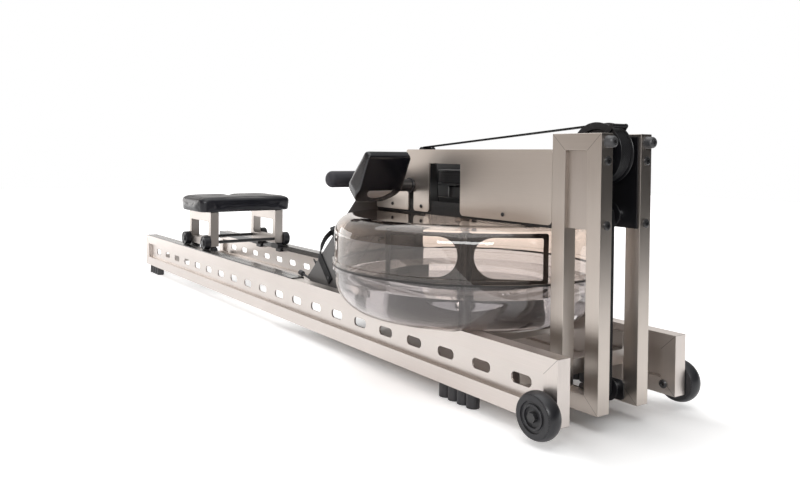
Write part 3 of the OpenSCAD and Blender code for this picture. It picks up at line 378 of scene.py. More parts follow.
def vinyl():
    """Grained upholstery vinyl with creased cells and a low gloss."""
    m, t, p, co = material("seat_vinyl")
    cell = nd(
        t, "ShaderNodeTexVoronoi", {"Vector": co, "Scale": 420.0}, feature="DISTANCE_TO_EDGE"
    )
    pore = mth(t, "MULTIPLY", noise(t, co, 900.0, 2.0), 0.25)
    height = mth(t, "ADD", ramp(t, cell.outputs[0], 0.0, 0.12), pore)
    cloud = noise(t, co, 16.0, 4.0)
    dust = use(t, DUST, {"Vector": co, "Amount": 0.04})
    dark, pale = (0.007, 0.007, 0.012), (0.012, 0.012, 0.018)
    base = blend_colour(t, ramp(t, cloud, 0.3, 0.7), dark, pale)
    base = blend_colour(t, dust.outputs[0], base, VINYL_DUST)
    t.links.new(base, p.inputs["Base Color"])
    t.links.new(ramp(t, cloud, 0.25, 0.75, 0.32, 0.4), p.inputs["Roughness"])
    fixed(p, Specular_IOR_Level=0.4, Coat_Weight=0.1, Coat_Roughness=0.25)
    bump(t, p, height, 0.1, 0.0004)
    return m


M_VINYL = vinyl()


def see_through(t, p, tint):
    """Light from the lamps passes a clear shell straight on, so what it holds is lit."""
    path = nd(t, "ShaderNodeLightPath")
    way = mth(t, "MAXIMUM", path.outputs["Is Shadow Ray"], path.outputs["Is Diffuse Ray"])
    clear = nd(t, "ShaderNodeBsdfTransparent", {"Color": (*tint, 1.0)})
    mix = nd(t, "ShaderNodeMixShader", {0: way})
    t.links.new(p.outputs[0], mix.inputs[1])
    t.links.new(clear.outputs[0], mix.inputs[2])
    t.links.new(mix.outputs[0], t.nodes["Material Output"].inputs["Surface"])


def tank(name, tint, haze):
    """Smoke-clear moulding: transmission, a little haze, hairline scuffs and settled dust."""
    m, t, p, co = material(name)
    scuff = noise(t, scaled(t, co, 60, 60, 400), 1.0, 4.0)
    dust = use(t, DUST, {"Vector": co, "Amount": 0.12})
    base = blend_colour(t, ramp(t, noise(t, co, 5.0, 3.0), 0.3, 0.7), tint, shade(tint, 0.93))
    base = blend_colour(t, dust.outputs[0], base, TANK_DUST)
    t.links.new(base, p.inputs["Base Color"])
    t.links.new(ramp(t, scuff, 0.6, 0.9, 0.0, 0.004), p.inputs["Roughness"])
    fixed(p, Transmission_Weight=1.0 - haze, IOR=1.5)
    bump(t, p, noise(t, co, 3.5, 1.0), 0.04, 0.003)
    see_through(t, p, shade(tint, 0.96))
    return m


M_TANKU = tank("tank_smoke_upper", (0.82, 0.735, 0.675), 0.0)
M_TANKL = tank("tank_smoke_lower", (0.8, 0.76, 0.755), 0.05)


def water():
    """Still water, with a slow unevenness that bends what is seen through it."""
    m, t, p, co = material("still_water")
    patch = ramp(t, noise(t, co, 8.0, 2.0), 0.3, 0.7)
    base = blend_colour(t, patch, (0.93, 0.93, 0.94), (0.88, 0.89, 0.91))
    t.links.new(base, p.inputs["Base Color"])
    fixed(p, Transmission_Weight=1.0, IOR=1.33, Roughness=0.0)
    bump(t, p, noise(t, scaled(t, co, 1, 1, 0.2), 12.0, 1.0), 0.08, 0.002)
    see_through(t, p, (0.96, 0.98, 0.98))
    return m


M_WATER = water()


def display():
    """Dark glossy window without figures or words."""
    m, t, p, co = material("monitor_window")
    cloud = ramp(t, noise(t, co, 30.0, 2.0), 0.3, 0.7)
    base = blend_colour(t, cloud, (0.02, 0.024, 0.026), (0.03, 0.036, 0.038))
    t.links.new(base, p.inputs["Base Color"])
    t.links.new(ramp(t, cloud, 0.0, 1.0, 0.08, 0.14), p.inputs["Roughness"])
    fixed(p, Coat_Weight=0.6)
    return m


M_WINDOW = display()

# %% [markdown]
# ## CAD nodes
# Each solid keeps its place and size. Welding the triangles, dissolving flat ones and a
# narrow bevel give its edges a catch of light. The clear shells and the long rail frames keep
# their edges as they come.

# %% Dressing the CAD nodes
WELD_GAP = 0.000002
FLAT_ANGLE, SHARP_ANGLE = math.radians(0.4), math.radians(32)


def dressed(name, mat):
    """The CAD node's object with one material."""
    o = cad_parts[name]
    o.data.materials.clear()
    o.data.materials.append(mat)
    return o


def weld(o):
    """Joins the loose triangles."""
    o.modifiers.new("weld", "WELD").merge_threshold = WELD_GAP


def finish_node(name, mat, width):
    """The node's material, and a small bevel on its sharp edges; a width of 0 leaves it sharp."""
    o = dressed(name, mat)
    if not width:
        return
    bpy.context.view_layer.objects.active = o
    with bpy.context.temp_override(object=o, active_object=o, selected_objects=[o]):
        bpy.ops.mesh.customdata_custom_splitnormals_clear()
    for poly in o.data.polygons:
        poly.use_smooth = True
    weld(o)
    flat = o.modifiers.new("flat", "DECIMATE")
    flat.decimate_type = "DISSOLVE"
    flat.angle_limit = FLAT_ANGLE
    b = o.modifiers.new("bevel", "BEVEL")
    b.width = width
    b.segments = 2
    b.limit_method = "ANGLE"
    b.angle_limit = SHARP_ANGLE
    b.use_clamp_overlap = False
    b.harden_normals = True
    b.miter_outer = "MITER_ARC"


def soften(name, mat, voxel=0.002, rounds=22):
    """A moulded shell whose edges run into soft radii."""
    o = dressed(name, mat)
    weld(o)
    rm = o.modifiers.new("remesh", "REMESH")
    rm.mode = "VOXEL"
    rm.voxel_size = voxel
    rm.use_smooth_shade = True
    sm = o.modifiers.new("smooth", "SMOOTH")
    sm.factor = 0.5
    sm.iterations = rounds


# material, bevel width in metres, nodes
FINISHES = (
    (M_RAIL, 0.0, ("rail_frame_r", "rail_frame_l")),
    (M_WEB, 0.0, ("rail_webs",)),
    (M_CROSS, 0.0008, ("cross_members",)),
    (M_TOWER, 0.0012, ("tower_frame_r", "tower_frame_l")),
    (M_PANEL, 0.0004, ("tower_panels",)),
    (M_DECK, 0.0005, ("deck_plate_r", "deck_plate_l")),
    (M_SEATF, 0.0008, ("seat_frames",)),
    (M_BAR, 0.0008, ("handle_bar",)),
    (M_TURNED, 0.0008, ("paddle_shaft",)),
    (M_TURNED, 0.0005, ("pulley_axles",)),
    (M_PADDLE, 0.0004, ("paddle",)),
    (M_BOLT, 0.0005, ("wheel_bolts",)),
    (M_BOLT, 0.0004, ("seat_axles",)),
    (M_BOLT, 0.0003, ("socket_bolts",)),
    (M_BOLT, 0.0002, ("deck_screws",)),
    (M_TRACK, 0.0005, ("track_strips",)),
    (M_RUBBER, 0.0008, ("rail_feet",)),
    (M_RUBBER, 0.0006, ("seat_stops",)),
    (M_GREY, 0.0005, ("tower_bumpers",)),
    (M_NYLON, 0.0015, ("handle_yoke",)),
    (M_NYLON, 0.0012, ("seat_shoes",)),
    (M_NYLON, 0.0008, ("top_pulley", "monitor_arm", "strap_buckles")),
    (M_NYLON, 0.0006, ("tower_liners", "strap_guides")),
    (M_NYLON, 0.0006, ("mid_pulley", "bottom_pulley", "strap_drum")),
    (M_DECKCORE, 0.0006, ("deck_core",)),
    (M_HEEL, 0.0012, ("heel_rest_r", "heel_rest_l")),
    (M_TYRE, 0.0008, ("wheel_r_side", "wheel_l_side")),
    (M_TYRE, 0.0006, ("roller_front_r", "roller_front_l", "roller_rear_r", "roller_rear_l")),
    (M_BOARD, 0.0006, ("footboard",)),
    (M_FOAM, 0.001, ("handle_grips",)),
    (M_WINDOW, 0.0004, ("monitor_face",)),
    (M_LABEL, 0.0003, ("monitor_label",)),
    (M_KEY, 0.0005, ("button_a", "button_b", "button_c")),
    (M_GASKET, 0.0, ("tank_gasket",)),
    (M_TANKU, 0.0, ("tank_upper",)),
    (M_TANKL, 0.0, ("tank_lower",)),
    (M_WATER, 0.0, ("tank_water",)),
)
for mat, width, names in FINISHES:
    for node_name in names:
        finish_node(node_name, mat, width)
soften("monitor_housing", M_SHELL)

# %% [markdown]
# ## Straps and cord
# Each strap is swept along its real route with a rounded section, and its UV map counts
# metres, so the weave keeps its thread size on every strap.

# %% Meshes and sweeps


def put_mesh(name, bm, mat):
    """An object in the scene from a bmesh, with its material."""
    mesh = bpy.data.meshes.new(name)
    bm.to_mesh(mesh)
    bm.free()
    o = bpy.data.objects.new(name, mesh)
    bpy.context.collection.objects.link(o)
    o.data.materials.append(mat)
    return o


def skin(name, rings, mat, uv_at):
    """Closed rings of points joined into a capped tube; uv_at(ring, corner) gives its UV map."""
    bm = bmesh.new()
    uv = bm.loops.layers.uv.new("UVMap")
    rings = [[bm.verts.new(p) for p in ring] for ring in rings]
    m = len(rings[0])
    for i in range(len(rings) - 1):
        for k in range(m):
            corners = ((i, k), (i, k + 1), (i + 1, k + 1), (i + 1, k))
            f = bm.faces.new([rings[u][c % m] for u, c in corners])
            f.smooth = True
            for loop, (u, c) in zip(f.loops, corners):
                loop[uv].uv = uv_at(u, c)
    bm.faces.new(list(reversed(rings[0])))
    bm.faces.new(rings[-1])
    bmesh.ops.recalc_face_normals(bm, faces=bm.faces)
    return put_mesh(name, bm, mat)


def strap_section(width, thick, steps=8):
    """A strap's outline across: two flat faces and narrow rounded edges."""
    half, h = width / 2, thick / 2
    flat, lip = half - 0.3 * thick, 0.3 * h
    face = [(-flat + 2 * flat * k / steps, h) for k in range(steps + 1)]
    upper = face + [(half, lip), (half, -lip)]
    return upper + [(-a, -b) for a, b in upper]


def sweep(name, points, sides, width, thick, mat):
    """A flat strap along points; sides give the width direction at each point."""
    pts = np.array([tuple(p) for p in points], float)
    tan = np.gradient(pts, axis=0)
    tan /= np.linalg.norm(tan, axis=1)[:, None]
    run = np.concatenate([[0], np.cumsum(np.linalg.norm(np.diff(pts, axis=0), axis=1))])
    section = strap_section(width, thick)
    rings = []
    for p, t, side in zip(pts, tan, sides):
        s = np.array(side, float)
        s = s - t * np.dot(s, t)
        s /= np.linalg.norm(s)
        up = np.cross(t, s)
        rings.append([p + s * a + up * b for a, b in section])
    return skin(name, rings, mat, lambda u, c: (run[u], section[c % len(section)][0]))


def arc(x, z, r, a1, a2, n):
    """Points on an arc in X-Z, degrees from +X towards +Z."""
    turns = (math.radians(a1 + (a2 - a1) * i / n) for i in range(n + 1))
    return [at(x + r * math.cos(a), 0, z + r * math.sin(a)) for a in turns]


def line(a, b, n):
    """Points from a to b in n equal steps."""
    return [a.lerp(b, i / n) for i in range(n + 1)]


def smoothstep(t):
    """0..1 eased at both ends."""
    t = max(0.0, min(1.0, t))
    return t * t * (3 - 2 * t)


def twist_run(p, q, w1, w2, n):
    """A straight run whose width direction turns from w1 to w2."""
    pts = line(p, q, n)
    return pts, [Vector(w1).lerp(Vector(w2), smoothstep(i / n)) for i in range(n + 1)]


def slope(a, b, rise):
    """Degrees of a strap from circle a to circle b, whose radius is larger by rise."""
    return math.degrees(math.atan2(b[1] - a[1], b[0] - a[0]) + math.asin(rise / math.dist(a, b)))


# Axes in X-Z, in millimetres; the drum stands upright and its strap winds at this height
TOP, GUIDE, MID, LOW, DRUM = (-58, 474.5), (-556, 479), (-50, 365), (-50, 50), (-418, 421)
SHEAVE_Z, CLIP_X, YOKE = 388, -956, (-604, 425)
# Radii to the middle of the strap
GUIDE_R, TOP_R, RECOIL_R, DRUM_R, SHEAVE_R = 8.4, 51.4, 13.8, 59.4, 41.3
WOUND, WIND_STEP = 12, 7.5  # points round the drum, and the degrees between them
RUN_A = 90 + slope(GUIDE, TOP, TOP_R - GUIDE_R)
HANDLE_A = 90 + slope(YOKE, GUIDE, GUIDE_R)
# Width and thickness in metres, a little inside the CAD straps
WIDE, RECOIL, FOOT = (0.0245, 0.002), (0.0195, 0.0018), (0.0238, 0.0022)
HANDLE_RUN = line(at(-607.5, 0, 419.8), arc(*GUIDE, GUIDE_R, HANDLE_A, HANDLE_A, 1)[0], 40)


def wound(radius, z, start, step):
    """Points round the drum's axis, step degrees apart, from one step past start."""
    turns = (math.radians(start + step * i) for i in range(1, WOUND + 1))
    return [at(DRUM[0] + radius * math.cos(a), radius * math.sin(a), z) for a in turns]


def drive():
    """Guide, long run, top pulley, then a quarter turn down to the drum and round it."""
    pts = arc(*GUIDE, GUIDE_R, HANDLE_A, RUN_A, 8)
    over = arc(*TOP, TOP_R, RUN_A, -90, 34)
    pts += line(pts[-1], over[0], 30)[1:]
    pts += over[1:]
    sides = [Y] * len(pts)
    run, turn = twist_run(pts[-1], at(DRUM[0], -DRUM_R, DRUM[1]), Y, Z, 24)
    pts += run[1:]
    sides += turn[1:]
    pts += wound(DRUM_R, DRUM[1], -90, -WIND_STEP)
    sides += [Z] * (len(pts) - len(sides))
    return sweep("drive_webbing", pts, sides, *WIDE, M_STRAP)


def recoil():
    """Sheave under the drum, middle and bottom pulley, then back under the tank to its sewn end."""
    pts = wound(SHEAVE_R, SHEAVE_Z, 90, WIND_STEP)[::-1]
    sides = [Z] * len(pts)
    leave, land = at(DRUM[0], SHEAVE_R, SHEAVE_Z), at(MID[0], 0, MID[1] + RECOIL_R)
    run, turn = twist_run(leave, land, Z, Y, 24)
    pts += run
    sides += turn
    pts += arc(*MID, RECOIL_R, 90, 0, 12)[1:]
    pts += line(pts[-1], at(LOW[0] + RECOIL_R, 0, LOW[1]), 12)[1:]
    pts += arc(*LOW, RECOIL_R, 0, -90, 12)[1:]
    pts += line(pts[-1], at(CLIP_X, 0, LOW[1] - RECOIL_R), 24)[1:]
    sides += [Y] * (len(pts) - len(sides))
    return sweep("recoil_webbing", pts, sides, *RECOIL, M_STRAP)


drive_web = drive()
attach(drive_web, "frame")
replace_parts(drive_web, "drive_strap")
recoil_web = recoil()
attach(recoil_web, "frame")
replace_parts(recoil_web, "recoil_strap")


def handle_web():
    """From the yoke up to the deck guide; it is drawn out as the handle goes back."""
    o = sweep("handle_webbing", HANDLE_RUN, [Y] * len(HANDLE_RUN), *WIDE, M_STRAP)
    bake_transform(o)
    return o


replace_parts(handle_web(), "handle_strap")

# %% Foot straps
# The foot of the board's face in X and Z, and the way up its slope
FACE_X, FACE_Z = -899.5, 142.7
UP_X, UP_Z = math.cos(math.radians(43.4)), math.sin(math.radians(43.4))
# On the board, in millimetres: the cheek leg's place and depth, and the arch's middle, rise,
# half span, and where its points and its inner leg lie
LEG_S, LEG_Y, LEG_FROM, LEG_STEP = 89, 128.55, -80, 6
ARCH_S, ARCH_Y, ARCH_RISE, ARCH_HALF = 125, 74.5, 52, 65
ARCH_REACH, INNER_LEG, HALF_STRAP = 63.7, 63.75, 1.25
# How many points the cheek leg and half the arch have, and how many the turn between them takes
LEG_POINTS, ARCH_POINTS, TURN = 13, 24, 6


def board(s, y, n):
    """A point of the footboard: s up the slope, n out of its face, in millimetres."""
    return at(FACE_X + s * UP_X - n * UP_Z, y, FACE_Z + s * UP_Z + n * UP_X)


def board_dir(s, y, n):
    """A direction given in the same way."""
    return Vector((s * UP_X - n * UP_Z, y, s * UP_Z + n * UP_X))


def foot_web(side, name, node):
    """Outer leg on the cheek, the arch over the foot, and the inner leg through its slot."""
    along, across = (0.5402, -0.8415), (0.8415, 0.5402)

    def arch(u, n):
        """A point u along the arch from its middle and n off the board."""
        return board(ARCH_S + u * along[0], side * (ARCH_Y + u * along[1]), n)

    pts = [board(LEG_S, side * LEG_Y, LEG_FROM + LEG_STEP * k) for k in range(LEG_POINTS)]
    sides = [board_dir(1, 0, 0)] * LEG_POINTS
    for k in range(-ARCH_POINTS, ARCH_POINTS + 1):
        u = k / ARCH_POINTS * ARCH_REACH
        pts.append(arch(u, ARCH_RISE * (1 - (abs(u) / ARCH_HALF) ** 2.2) + HALF_STRAP))
    pts += [arch(INNER_LEG, -3 * k) for k in range(4)]
    sides += [board_dir(across[0], side * across[1], 0)] * (len(pts) - LEG_POINTS)
    # past the cheek the width turns from the leg's direction to the arch's
    last = LEG_POINTS - 1
    for k in range(1, TURN):
        sides[last + k] = sides[last].lerp(sides[last + TURN], k / TURN)
    o = sweep(name, pts, sides, *FOOT, M_STRAP)
    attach(o, "frame")
    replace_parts(o, node)
    return pts, sides


foot_paths = {
    "r": foot_web(-1, "foot_webbing_r", "foot_strap_r"),
    "l": foot_web(1, "foot_webbing_l", "foot_strap_l"),
}

# %% Cord


def cord_tube(name, a, b, r, mat, n=60, m=20):
    """A straight round cord from a to b."""
    turns = [math.tau * k / m for k in range(m)]
    hoop = [Vector((0, r * math.cos(t), r * math.sin(t))) for t in turns]
    rings = [[p + d for d in hoop] for p in line(a, b, n)]
    step = (b - a).length / n
    return skin(name, rings, mat, lambda u, c: (u * step, c / m * math.tau * r))


bungee = cord_tube("bungee_sheath", at(-2039.8, 0, 39.7), at(-964, 0, 39.7), 0.0039, M_CORD)
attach(bungee, "frame")
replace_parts(bungee, "bungee_cord")

# %% [markdown]
# ## Painted shade behind the deck window
# Through the deck window the photograph shows black, so a thin black sheet on the far deck
# plate, where the line of sight meets it, paints the shade inside the deck.

# %% Painted shade sheet


def slab(name, a, b, mat, body):
    """A thin box between two corners of the CAD source, on a body."""
    lo, hi = at(*a), at(*b)
    bm = bmesh.new()
    bmesh.ops.create_cube(bm, size=1.0)
    for v in bm.verts:
        v.co = Vector(((lo[k] + hi[k]) / 2 + v.co[k] * (hi[k] - lo[k]) for k in range(3)))
    o = put_mesh(name, bm, mat)
    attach(o, body)


# a thin black sheet on the far deck plate: painted shade inside the deck
slab("deck_window_painted_shade", (-600, 63.2, 367.5), (-485, 63.8, 478), M_DECKCORE, "frame")

# %% [markdown]
# ## Seat pad
# The CAD cushion is drawn in a little, remeshed and puffed as cloth round its foam, then
# subdivided, so the vinyl crowns between its sides.

# %% Seat cushion
SEAT_MID, DRAWN_IN = at(-1645, 0, 293), (0.993, 0.996, 0.985)
PINNED_Z, SEAT_FOOT = 0.2705 + ZF, 0.2672 + ZF  # the rim that stays, and the lowest it may go
PUFF, PUFF_FRAMES = 0.0025, 20


def evaluated(o):
    """The object with its modifiers applied."""
    return o.evaluated_get(bpy.context.evaluated_depsgraph_get())


def puff(o, rest):
    """The vertices after the cloth has blown up, none moved by more than PUFF."""
    pin = o.vertex_groups.new(name="pin")
    pin.add([i for i, p in enumerate(rest) if p[2] < PINNED_Z], 1.0, "REPLACE")
    cloth = o.modifiers.new("cloth", "CLOTH")
    s = cloth.settings
    s.use_pressure = True
    s.uniform_pressure_force = 4.0
    s.effector_weights.gravity = 0.0
    s.vertex_group_mass = "pin"
    s.tension_stiffness = 40
    s.compression_stiffness = 40
    s.bending_stiffness = 4
    cloth.point_cache.frame_start = 1
    cloth.point_cache.frame_end = PUFF_FRAMES
    for f in range(1, PUFF_FRAMES + 1):
        bpy.context.scene.frame_set(f)
    got = np.array([v.co for v in evaluated(o).data.vertices], float)
    bpy.context.scene.frame_set(1)
    o.modifiers.clear()
    move = got - rest
    size = np.linalg.norm(move, axis=1)[:, None]
    final = rest + move * np.minimum(1.0, PUFF / np.maximum(size, 1e-9))
    final[:, 2] = np.maximum(final[:, 2], SEAT_FOOT)
    return final


def seat_cushion():
    """The CAD cushion's shape in vinyl, on the seat."""
    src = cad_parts["seat_pad"]
    o = bpy.data.objects.new("seat_cushion", src.data.copy())
    bpy.context.collection.objects.link(o)
    o.data.materials.clear()
    bm = bmesh.new()
    bm.from_mesh(o.data)
    bmesh.ops.remove_doubles(bm, verts=bm.verts, dist=1e-6)
    for v in bm.verts:
        d = v.co - SEAT_MID
        down = DRAWN_IN[2] if d.z > 0 else 1.0
        v.co = SEAT_MID + Vector((d.x * DRAWN_IN[0], d.y * DRAWN_IN[1], d.z * down))
    bm.to_mesh(o.data)
    bm.free()
    rm = o.modifiers.new("remesh", "REMESH")
    rm.mode = "VOXEL"
    rm.voxel_size = 0.005
    rm.use_smooth_shade = True
    bpy.context.view_layer.update()
    mesh = bpy.data.meshes.new_from_object(evaluated(o))
    o.modifiers.clear()
    o.data = mesh
    rest = np.array([v.co for v in mesh.vertices], float)
    mesh.vertices.foreach_set("co", puff(o, rest).astype(np.float32).ravel())
    mesh.update()
    for p in mesh.polygons:
        p.use_smooth = True
    sub = o.modifiers.new("subdiv", "SUBSURF")
    sub.levels = sub.render_levels = 1
    o.data.materials.append(M_VINYL)
    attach(o, "seat")
    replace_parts(o, "seat_pad")


seat_cushion()

# %% [markdown]
# ## Stitches and grip pips
# Small parts that repeat come from one Geometry Nodes group: it walks along the edges it is
# given, sets a bead at every pitch and turns it along the edge. The result is kept as a
# plain mesh on the body that it belongs to.

# %% Bead rows


def make_row():
    """Beads along the edges of a mesh: named inputs, a fixed seed, instances made real."""
    g = bpy.data.node_groups.new("bead_row", "GeometryNodeTree")
    geo = "NodeSocketGeometry"
    for label, kind, default in (
        ("Path", geo, None),
        ("Pitch", F, 0.003),
        ("Length", F, 0.002),
        ("Radius", F, 0.0004),
        ("Spread", F, 0.06),
        ("Seed", "NodeSocketInt", 7),
        ("Material", "NodeSocketMaterial", None),
    ):
        socket = g.interface.new_socket(label, in_out="INPUT", socket_type=kind)
        if default is not None:
            socket.default_value = default
    g.interface.new_socket("Beads", in_out="OUTPUT", socket_type=geo)
    i, o = g.nodes.new("NodeGroupInput").outputs, g.nodes.new("NodeGroupOutput").inputs

    def geometry(kind, ins, **props):
        """A Geometry Nodes node's first output."""
        return nd(g, kind, ins, **props).outputs[0]

    curve = geometry("GeometryNodeMeshToCurve", {0: i["Path"]})
    spaced = {"Curve": curve, "Length": i["Pitch"]}
    even = geometry("GeometryNodeResampleCurve", spaced, mode="LENGTH")
    ball = geometry("GeometryNodeMeshUVSphere", {"Segments": 8, "Rings": 6, "Radius": 1.0})
    half = mth(g, "MULTIPLY", i["Length"], 0.5)
    size = geometry("ShaderNodeCombineXYZ", {0: half, 1: i["Radius"], 2: i["Radius"]})
    bead = geometry("GeometryNodeTransform", {"Geometry": ball, "Scale": size})
    along = geometry("GeometryNodeInputTangent", {})
    turn = geometry("FunctionNodeAlignRotationToVector", {"Vector": along}, axis="X")
    low, high = mth(g, "SUBTRACT", 1.0, i["Spread"]), mth(g, "ADD", 1.0, i["Spread"])
    drawn = {2: low, 3: high, "Seed": i["Seed"]}
    wob = nd(g, "FunctionNodeRandomValue", drawn, data_type="FLOAT").outputs[1]
    placed = {"Points": even, "Instance": bead, "Rotation": turn, "Scale": wob}
    put = geometry("GeometryNodeInstanceOnPoints", placed)
    real = geometry("GeometryNodeRealizeInstances", {0: put})
    smooth = geometry("GeometryNodeSetShadeSmooth", {0: real})
    beads = geometry("GeometryNodeSetMaterial", {"Geometry": smooth, "Material": i["Material"]})
    g.links.new(beads, o[0])
    return g


ROW = make_row()


def bead_rows(name, lines, body, **values):
    """Runs the group over some polylines and hands the plain mesh to a body."""
    verts, edges = [], []
    for pts in lines:
        base = len(verts)
        verts += [tuple(p) for p in pts]
        edges += [(base + k, base + k + 1) for k in range(len(pts) - 1)]
    path = bpy.data.meshes.new(name + "_path")
    path.from_pydata(verts, edges, [])
    src = bpy.data.objects.new(name + "_path", path)
    bpy.context.collection.objects.link(src)
    mod = src.modifiers.new("row", "NODES")
    mod.node_group = ROW
    for item in ROW.interface.items_tree:
        if item.in_out == "INPUT" and item.name in values:
            mod[item.identifier] = values[item.name]
    bpy.context.view_layer.update()
    mesh = bpy.data.meshes.new_from_object(evaluated(src))
    bpy.data.objects.remove(src)
    o = bpy.data.objects.new(name, mesh)
    bpy.context.collection.objects.link(o)
    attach(o, body)


def beside(points, sides, off, lift):
    """A polyline off to one side of a strap and lifted onto its outer face."""
    out = []
    for k in range(1, len(points) - 1):
        t = (Vector(points[k + 1]) - Vector(points[k - 1])).normalized()
        w = Vector(sides[k])
        w = (w - t * w.dot(t)).normalized()
        out.append(Vector(points[k]) + w * off + t.cross(w) * lift)
    return out


def seams(points, sides, off, lift):
    """Four rows: near both edges of a strap, on both of its faces."""
    return [beside(points, sides, x, z) for x in (-off, off) for z in (-lift, lift)]


STITCH = {"Pitch": 0.0032, "Length": 0.0024, "Radius": 0.00045, "Material": M_THREAD}
SEWN_ARCH, SEWN_END = slice(16, 64), 24  # the points of each strap that are stitched
for side_name, (pts, sides) in foot_paths.items():
    rows = seams(pts[SEWN_ARCH], sides[SEWN_ARCH], 0.0095, 0.0012)
    bead_rows("foot_stitches_" + side_name, rows, "frame", **STITCH)

rows = seams(HANDLE_RUN[:SEWN_END], [Y] * SEWN_END, 0.0092, 0.0011)
bead_rows("handle_stitches", rows, "handle", **STITCH)

PIP = {"Pitch": 0.0064, "Length": 0.0032, "Radius": 0.0016, "Spread": 0.0, "Material": M_HEEL}
# On the board, in millimetres: the heel rest's middle and top, and its bare middle strip; then
# how far each row of pips reaches, the first row's place and the rows' pitch
HEEL_Y, HEEL_TOP, HEEL_HOLE = 73.5, 6.2, 12
REACHES, FIRST_ROW, ROW_PITCH = (38, 38, 30, 30, 30), 46, 7
for side_name, sy in (("r", -1), ("l", 1)):
    rows = []
    for k, reach in enumerate(REACHES):
        up = FIRST_ROW + ROW_PITCH * k
        for lo, hi in ((-reach, -HEEL_HOLE), (HEEL_HOLE, reach)):
            rows.append([board(up, sy * (HEEL_Y + y), HEEL_TOP) for y in (lo, hi)])
    bead_rows("heel_pips_" + side_name, rows, "heel_rest_" + side_name, **PIP)

# %% [markdown]
# ## Floor, light and camera
# A white paper floor, a big softbox overhead, and two boxes that only reflections see: one
# behind and above the camera and one past the seat's end. What the metal mirrors besides is
# a pale studio: warm and bright ahead, grey to the left, dark to the right.

# %% Floor
FLOOR = ((-8.0, -3.5), (2.0, -3.5), (2.0, 7.0), (-8.0, 7.0))  # corners, in metres
TANK_X = 0.62  # the middle of the tank, lengthwise


def either(t, *values):
    """The largest of several values, so 1 where any of them is 1."""
    top = values[0]
    for value in values[1:]:
        top = mth(t, "MAXIMUM", top, value)
    return top


def paper():
    """White paper with painted shade: greyer round the machine, and darker between the rails."""
    m, t, p, co = material("paper")
    fixed(p, Base_Color=(0.9, 0.9, 0.9, 1), Roughness=0.9, Specular_IOR_Level=0.1)
    fixed(p, Emission_Color=(1, 1, 1, 1))
    # painted shade: the glow falls from 1 far out to 0.52 near the machine
    glow = ramp(t, vec(t, "LENGTH", co).outputs["Value"], 1.3, 3.0, 0.52, 1.0)
    # painted shadow: the paper's glow is taken away between the rails, where the tank and the deck
    # stand over it
    sep = nd(t, "ShaderNodeSeparateXYZ", {0: co}).outputs
    across = ramp(t, mth(t, "ABSOLUTE", sep[1]), 0.1, 0.2)
    along = ramp(t, mth(t, "ABSOLUTE", mth(t, "SUBTRACT", sep[0], TANK_X)), 0.36, 0.62)
    glow = mth(t, "MULTIPLY", glow, either(t, across, along))
    # the paper's own white is only seen and mirrored: it throws no light on the machine
    ray = nd(t, "ShaderNodeLightPath").outputs
    seen = either(t, ray["Is Camera Ray"], ray["Is Transmission Ray"], ray["Is Glossy Ray"])
    t.links.new(mth(t, "MULTIPLY", glow, seen), p.inputs["Emission Strength"])
    return m


def lay_floor():
    """The paper under the machine."""
    bm = bmesh.new()
    for x, y in FLOOR:
        bm.verts.new((x, y, 0.0))
    bm.faces.new(bm.verts)
    floor = put_mesh("floor", bm, paper())


lay_floor()

# %% Light


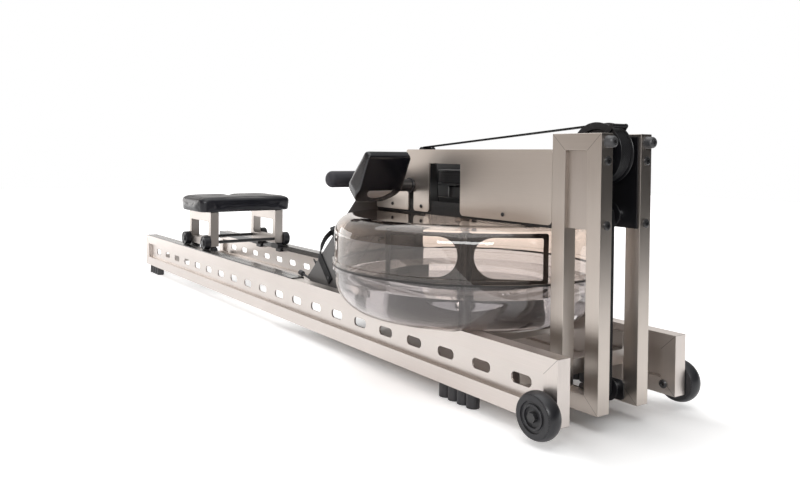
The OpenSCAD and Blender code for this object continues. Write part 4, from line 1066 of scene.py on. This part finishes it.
def studio():
    """The pale room that the metal mirrors; the camera itself sees white."""
    world = bpy.data.worlds.new("studio")
    bpy.context.scene.world = world
    world.use_nodes = True
    t = world.node_tree
    d = nd(t, "ShaderNodeTexCoord").outputs["Generated"]

    def facing(x, y):
        """How far a ray points to (x, y)."""
        return vec(t, "DOT_PRODUCT", d, (x, y, 0.0)).outputs["Value"]

    ahead, right, left = facing(-0.84, 0.54), facing(0.84, 0.54), facing(-0.84, -0.54)
    height = nd(t, "ShaderNodeSeparateXYZ", {0: d}).outputs[2]
    col = blend_colour(t, ramp(t, left, -0.2, 0.7), (0.26, 0.25, 0.245), (0.4, 0.36, 0.33))
    col = blend_colour(t, ramp(t, right, 0.3, 0.85), col, (0.02, 0.02, 0.02))
    col = blend_colour(t, ramp(t, height, 0.3, 0.8), col, (0.55, 0.55, 0.55))
    col = blend_colour(t, ramp(t, ahead, 0.6, 0.9), col, (1.0, 0.97, 0.94))
    ray = nd(t, "ShaderNodeLightPath").outputs
    seen = either(t, ray["Is Camera Ray"], ray["Is Transmission Ray"])
    col = blend_colour(t, seen, col, (1.0, 1.0, 1.0))
    bg = t.nodes["Background"]
    t.links.new(col, bg.inputs["Color"])
    bg.inputs["Strength"].default_value = 1.0


def area(name, loc, aim, size, power, colour=(1, 1, 1)):
    """A rectangular lamp at loc that faces aim: size in metres, power in watts."""
    lamp = bpy.data.lights.new(name, "AREA")
    lamp.shape = "RECTANGLE"
    lamp.size, lamp.size_y = size
    lamp.energy = power
    lamp.color = colour
    o = bpy.data.objects.new(name, lamp)
    o.location = loc
    o.rotation_euler = (Vector(aim) - Vector(loc)).to_track_quat("-Z", "Y").to_euler()
    bpy.context.collection.objects.link(o)
    return o


studio()
area("overhead", (0.2, -0.3, 3.0), (0.2, 0, 0), (4.2, 2.6), 52)
WARM = (1.0, 0.99, 0.98)
for box in (
    area("camera_box", (3.0, -2.15, 1.75), (0.64, 0, 0.3), (2.6, 0.8), 85),
    area("rear_box", (-2.9, -1.0, 0.35), (-0.7, -0.17, 0.28), (1.7, 1.4), 19, WARM),
):
    box.visible_diffuse = False
    box.visible_transmission = False
    box.visible_camera = False

# %% Camera
EYE = (1.884, -1.1142, 0.4743)
yaw, pitch, roll = (math.radians(a) for a in (57.51, -1.18, 0.48))

cam = bpy.data.cameras.new("photo_view")
camera = bpy.data.objects.new("photo_view", cam)
bpy.context.collection.objects.link(camera)
fwd = Vector((-math.sin(yaw) * math.cos(pitch), math.cos(yaw) * math.cos(pitch), math.sin(pitch)))
right = Vector((math.cos(yaw), math.sin(yaw), 0))
up = right.cross(fwd)
r2 = right * math.cos(roll) + up * math.sin(roll)
u2 = up * math.cos(roll) - right * math.sin(roll)
turned = [[r2[k], u2[k], -fwd[k], EYE[k]] for k in range(3)]
camera.matrix_world = Matrix([*turned, [0, 0, 0, 1]])
cam.sensor_fit = "HORIZONTAL"
cam.sensor_width = 36.0
cam.lens = 33.6555
cam.shift_x = 0.06925
cam.shift_y = -0.10075
cam.clip_end = 60
bpy.context.scene.camera = camera
bpy.context.scene.view_settings.view_transform = "Standard"
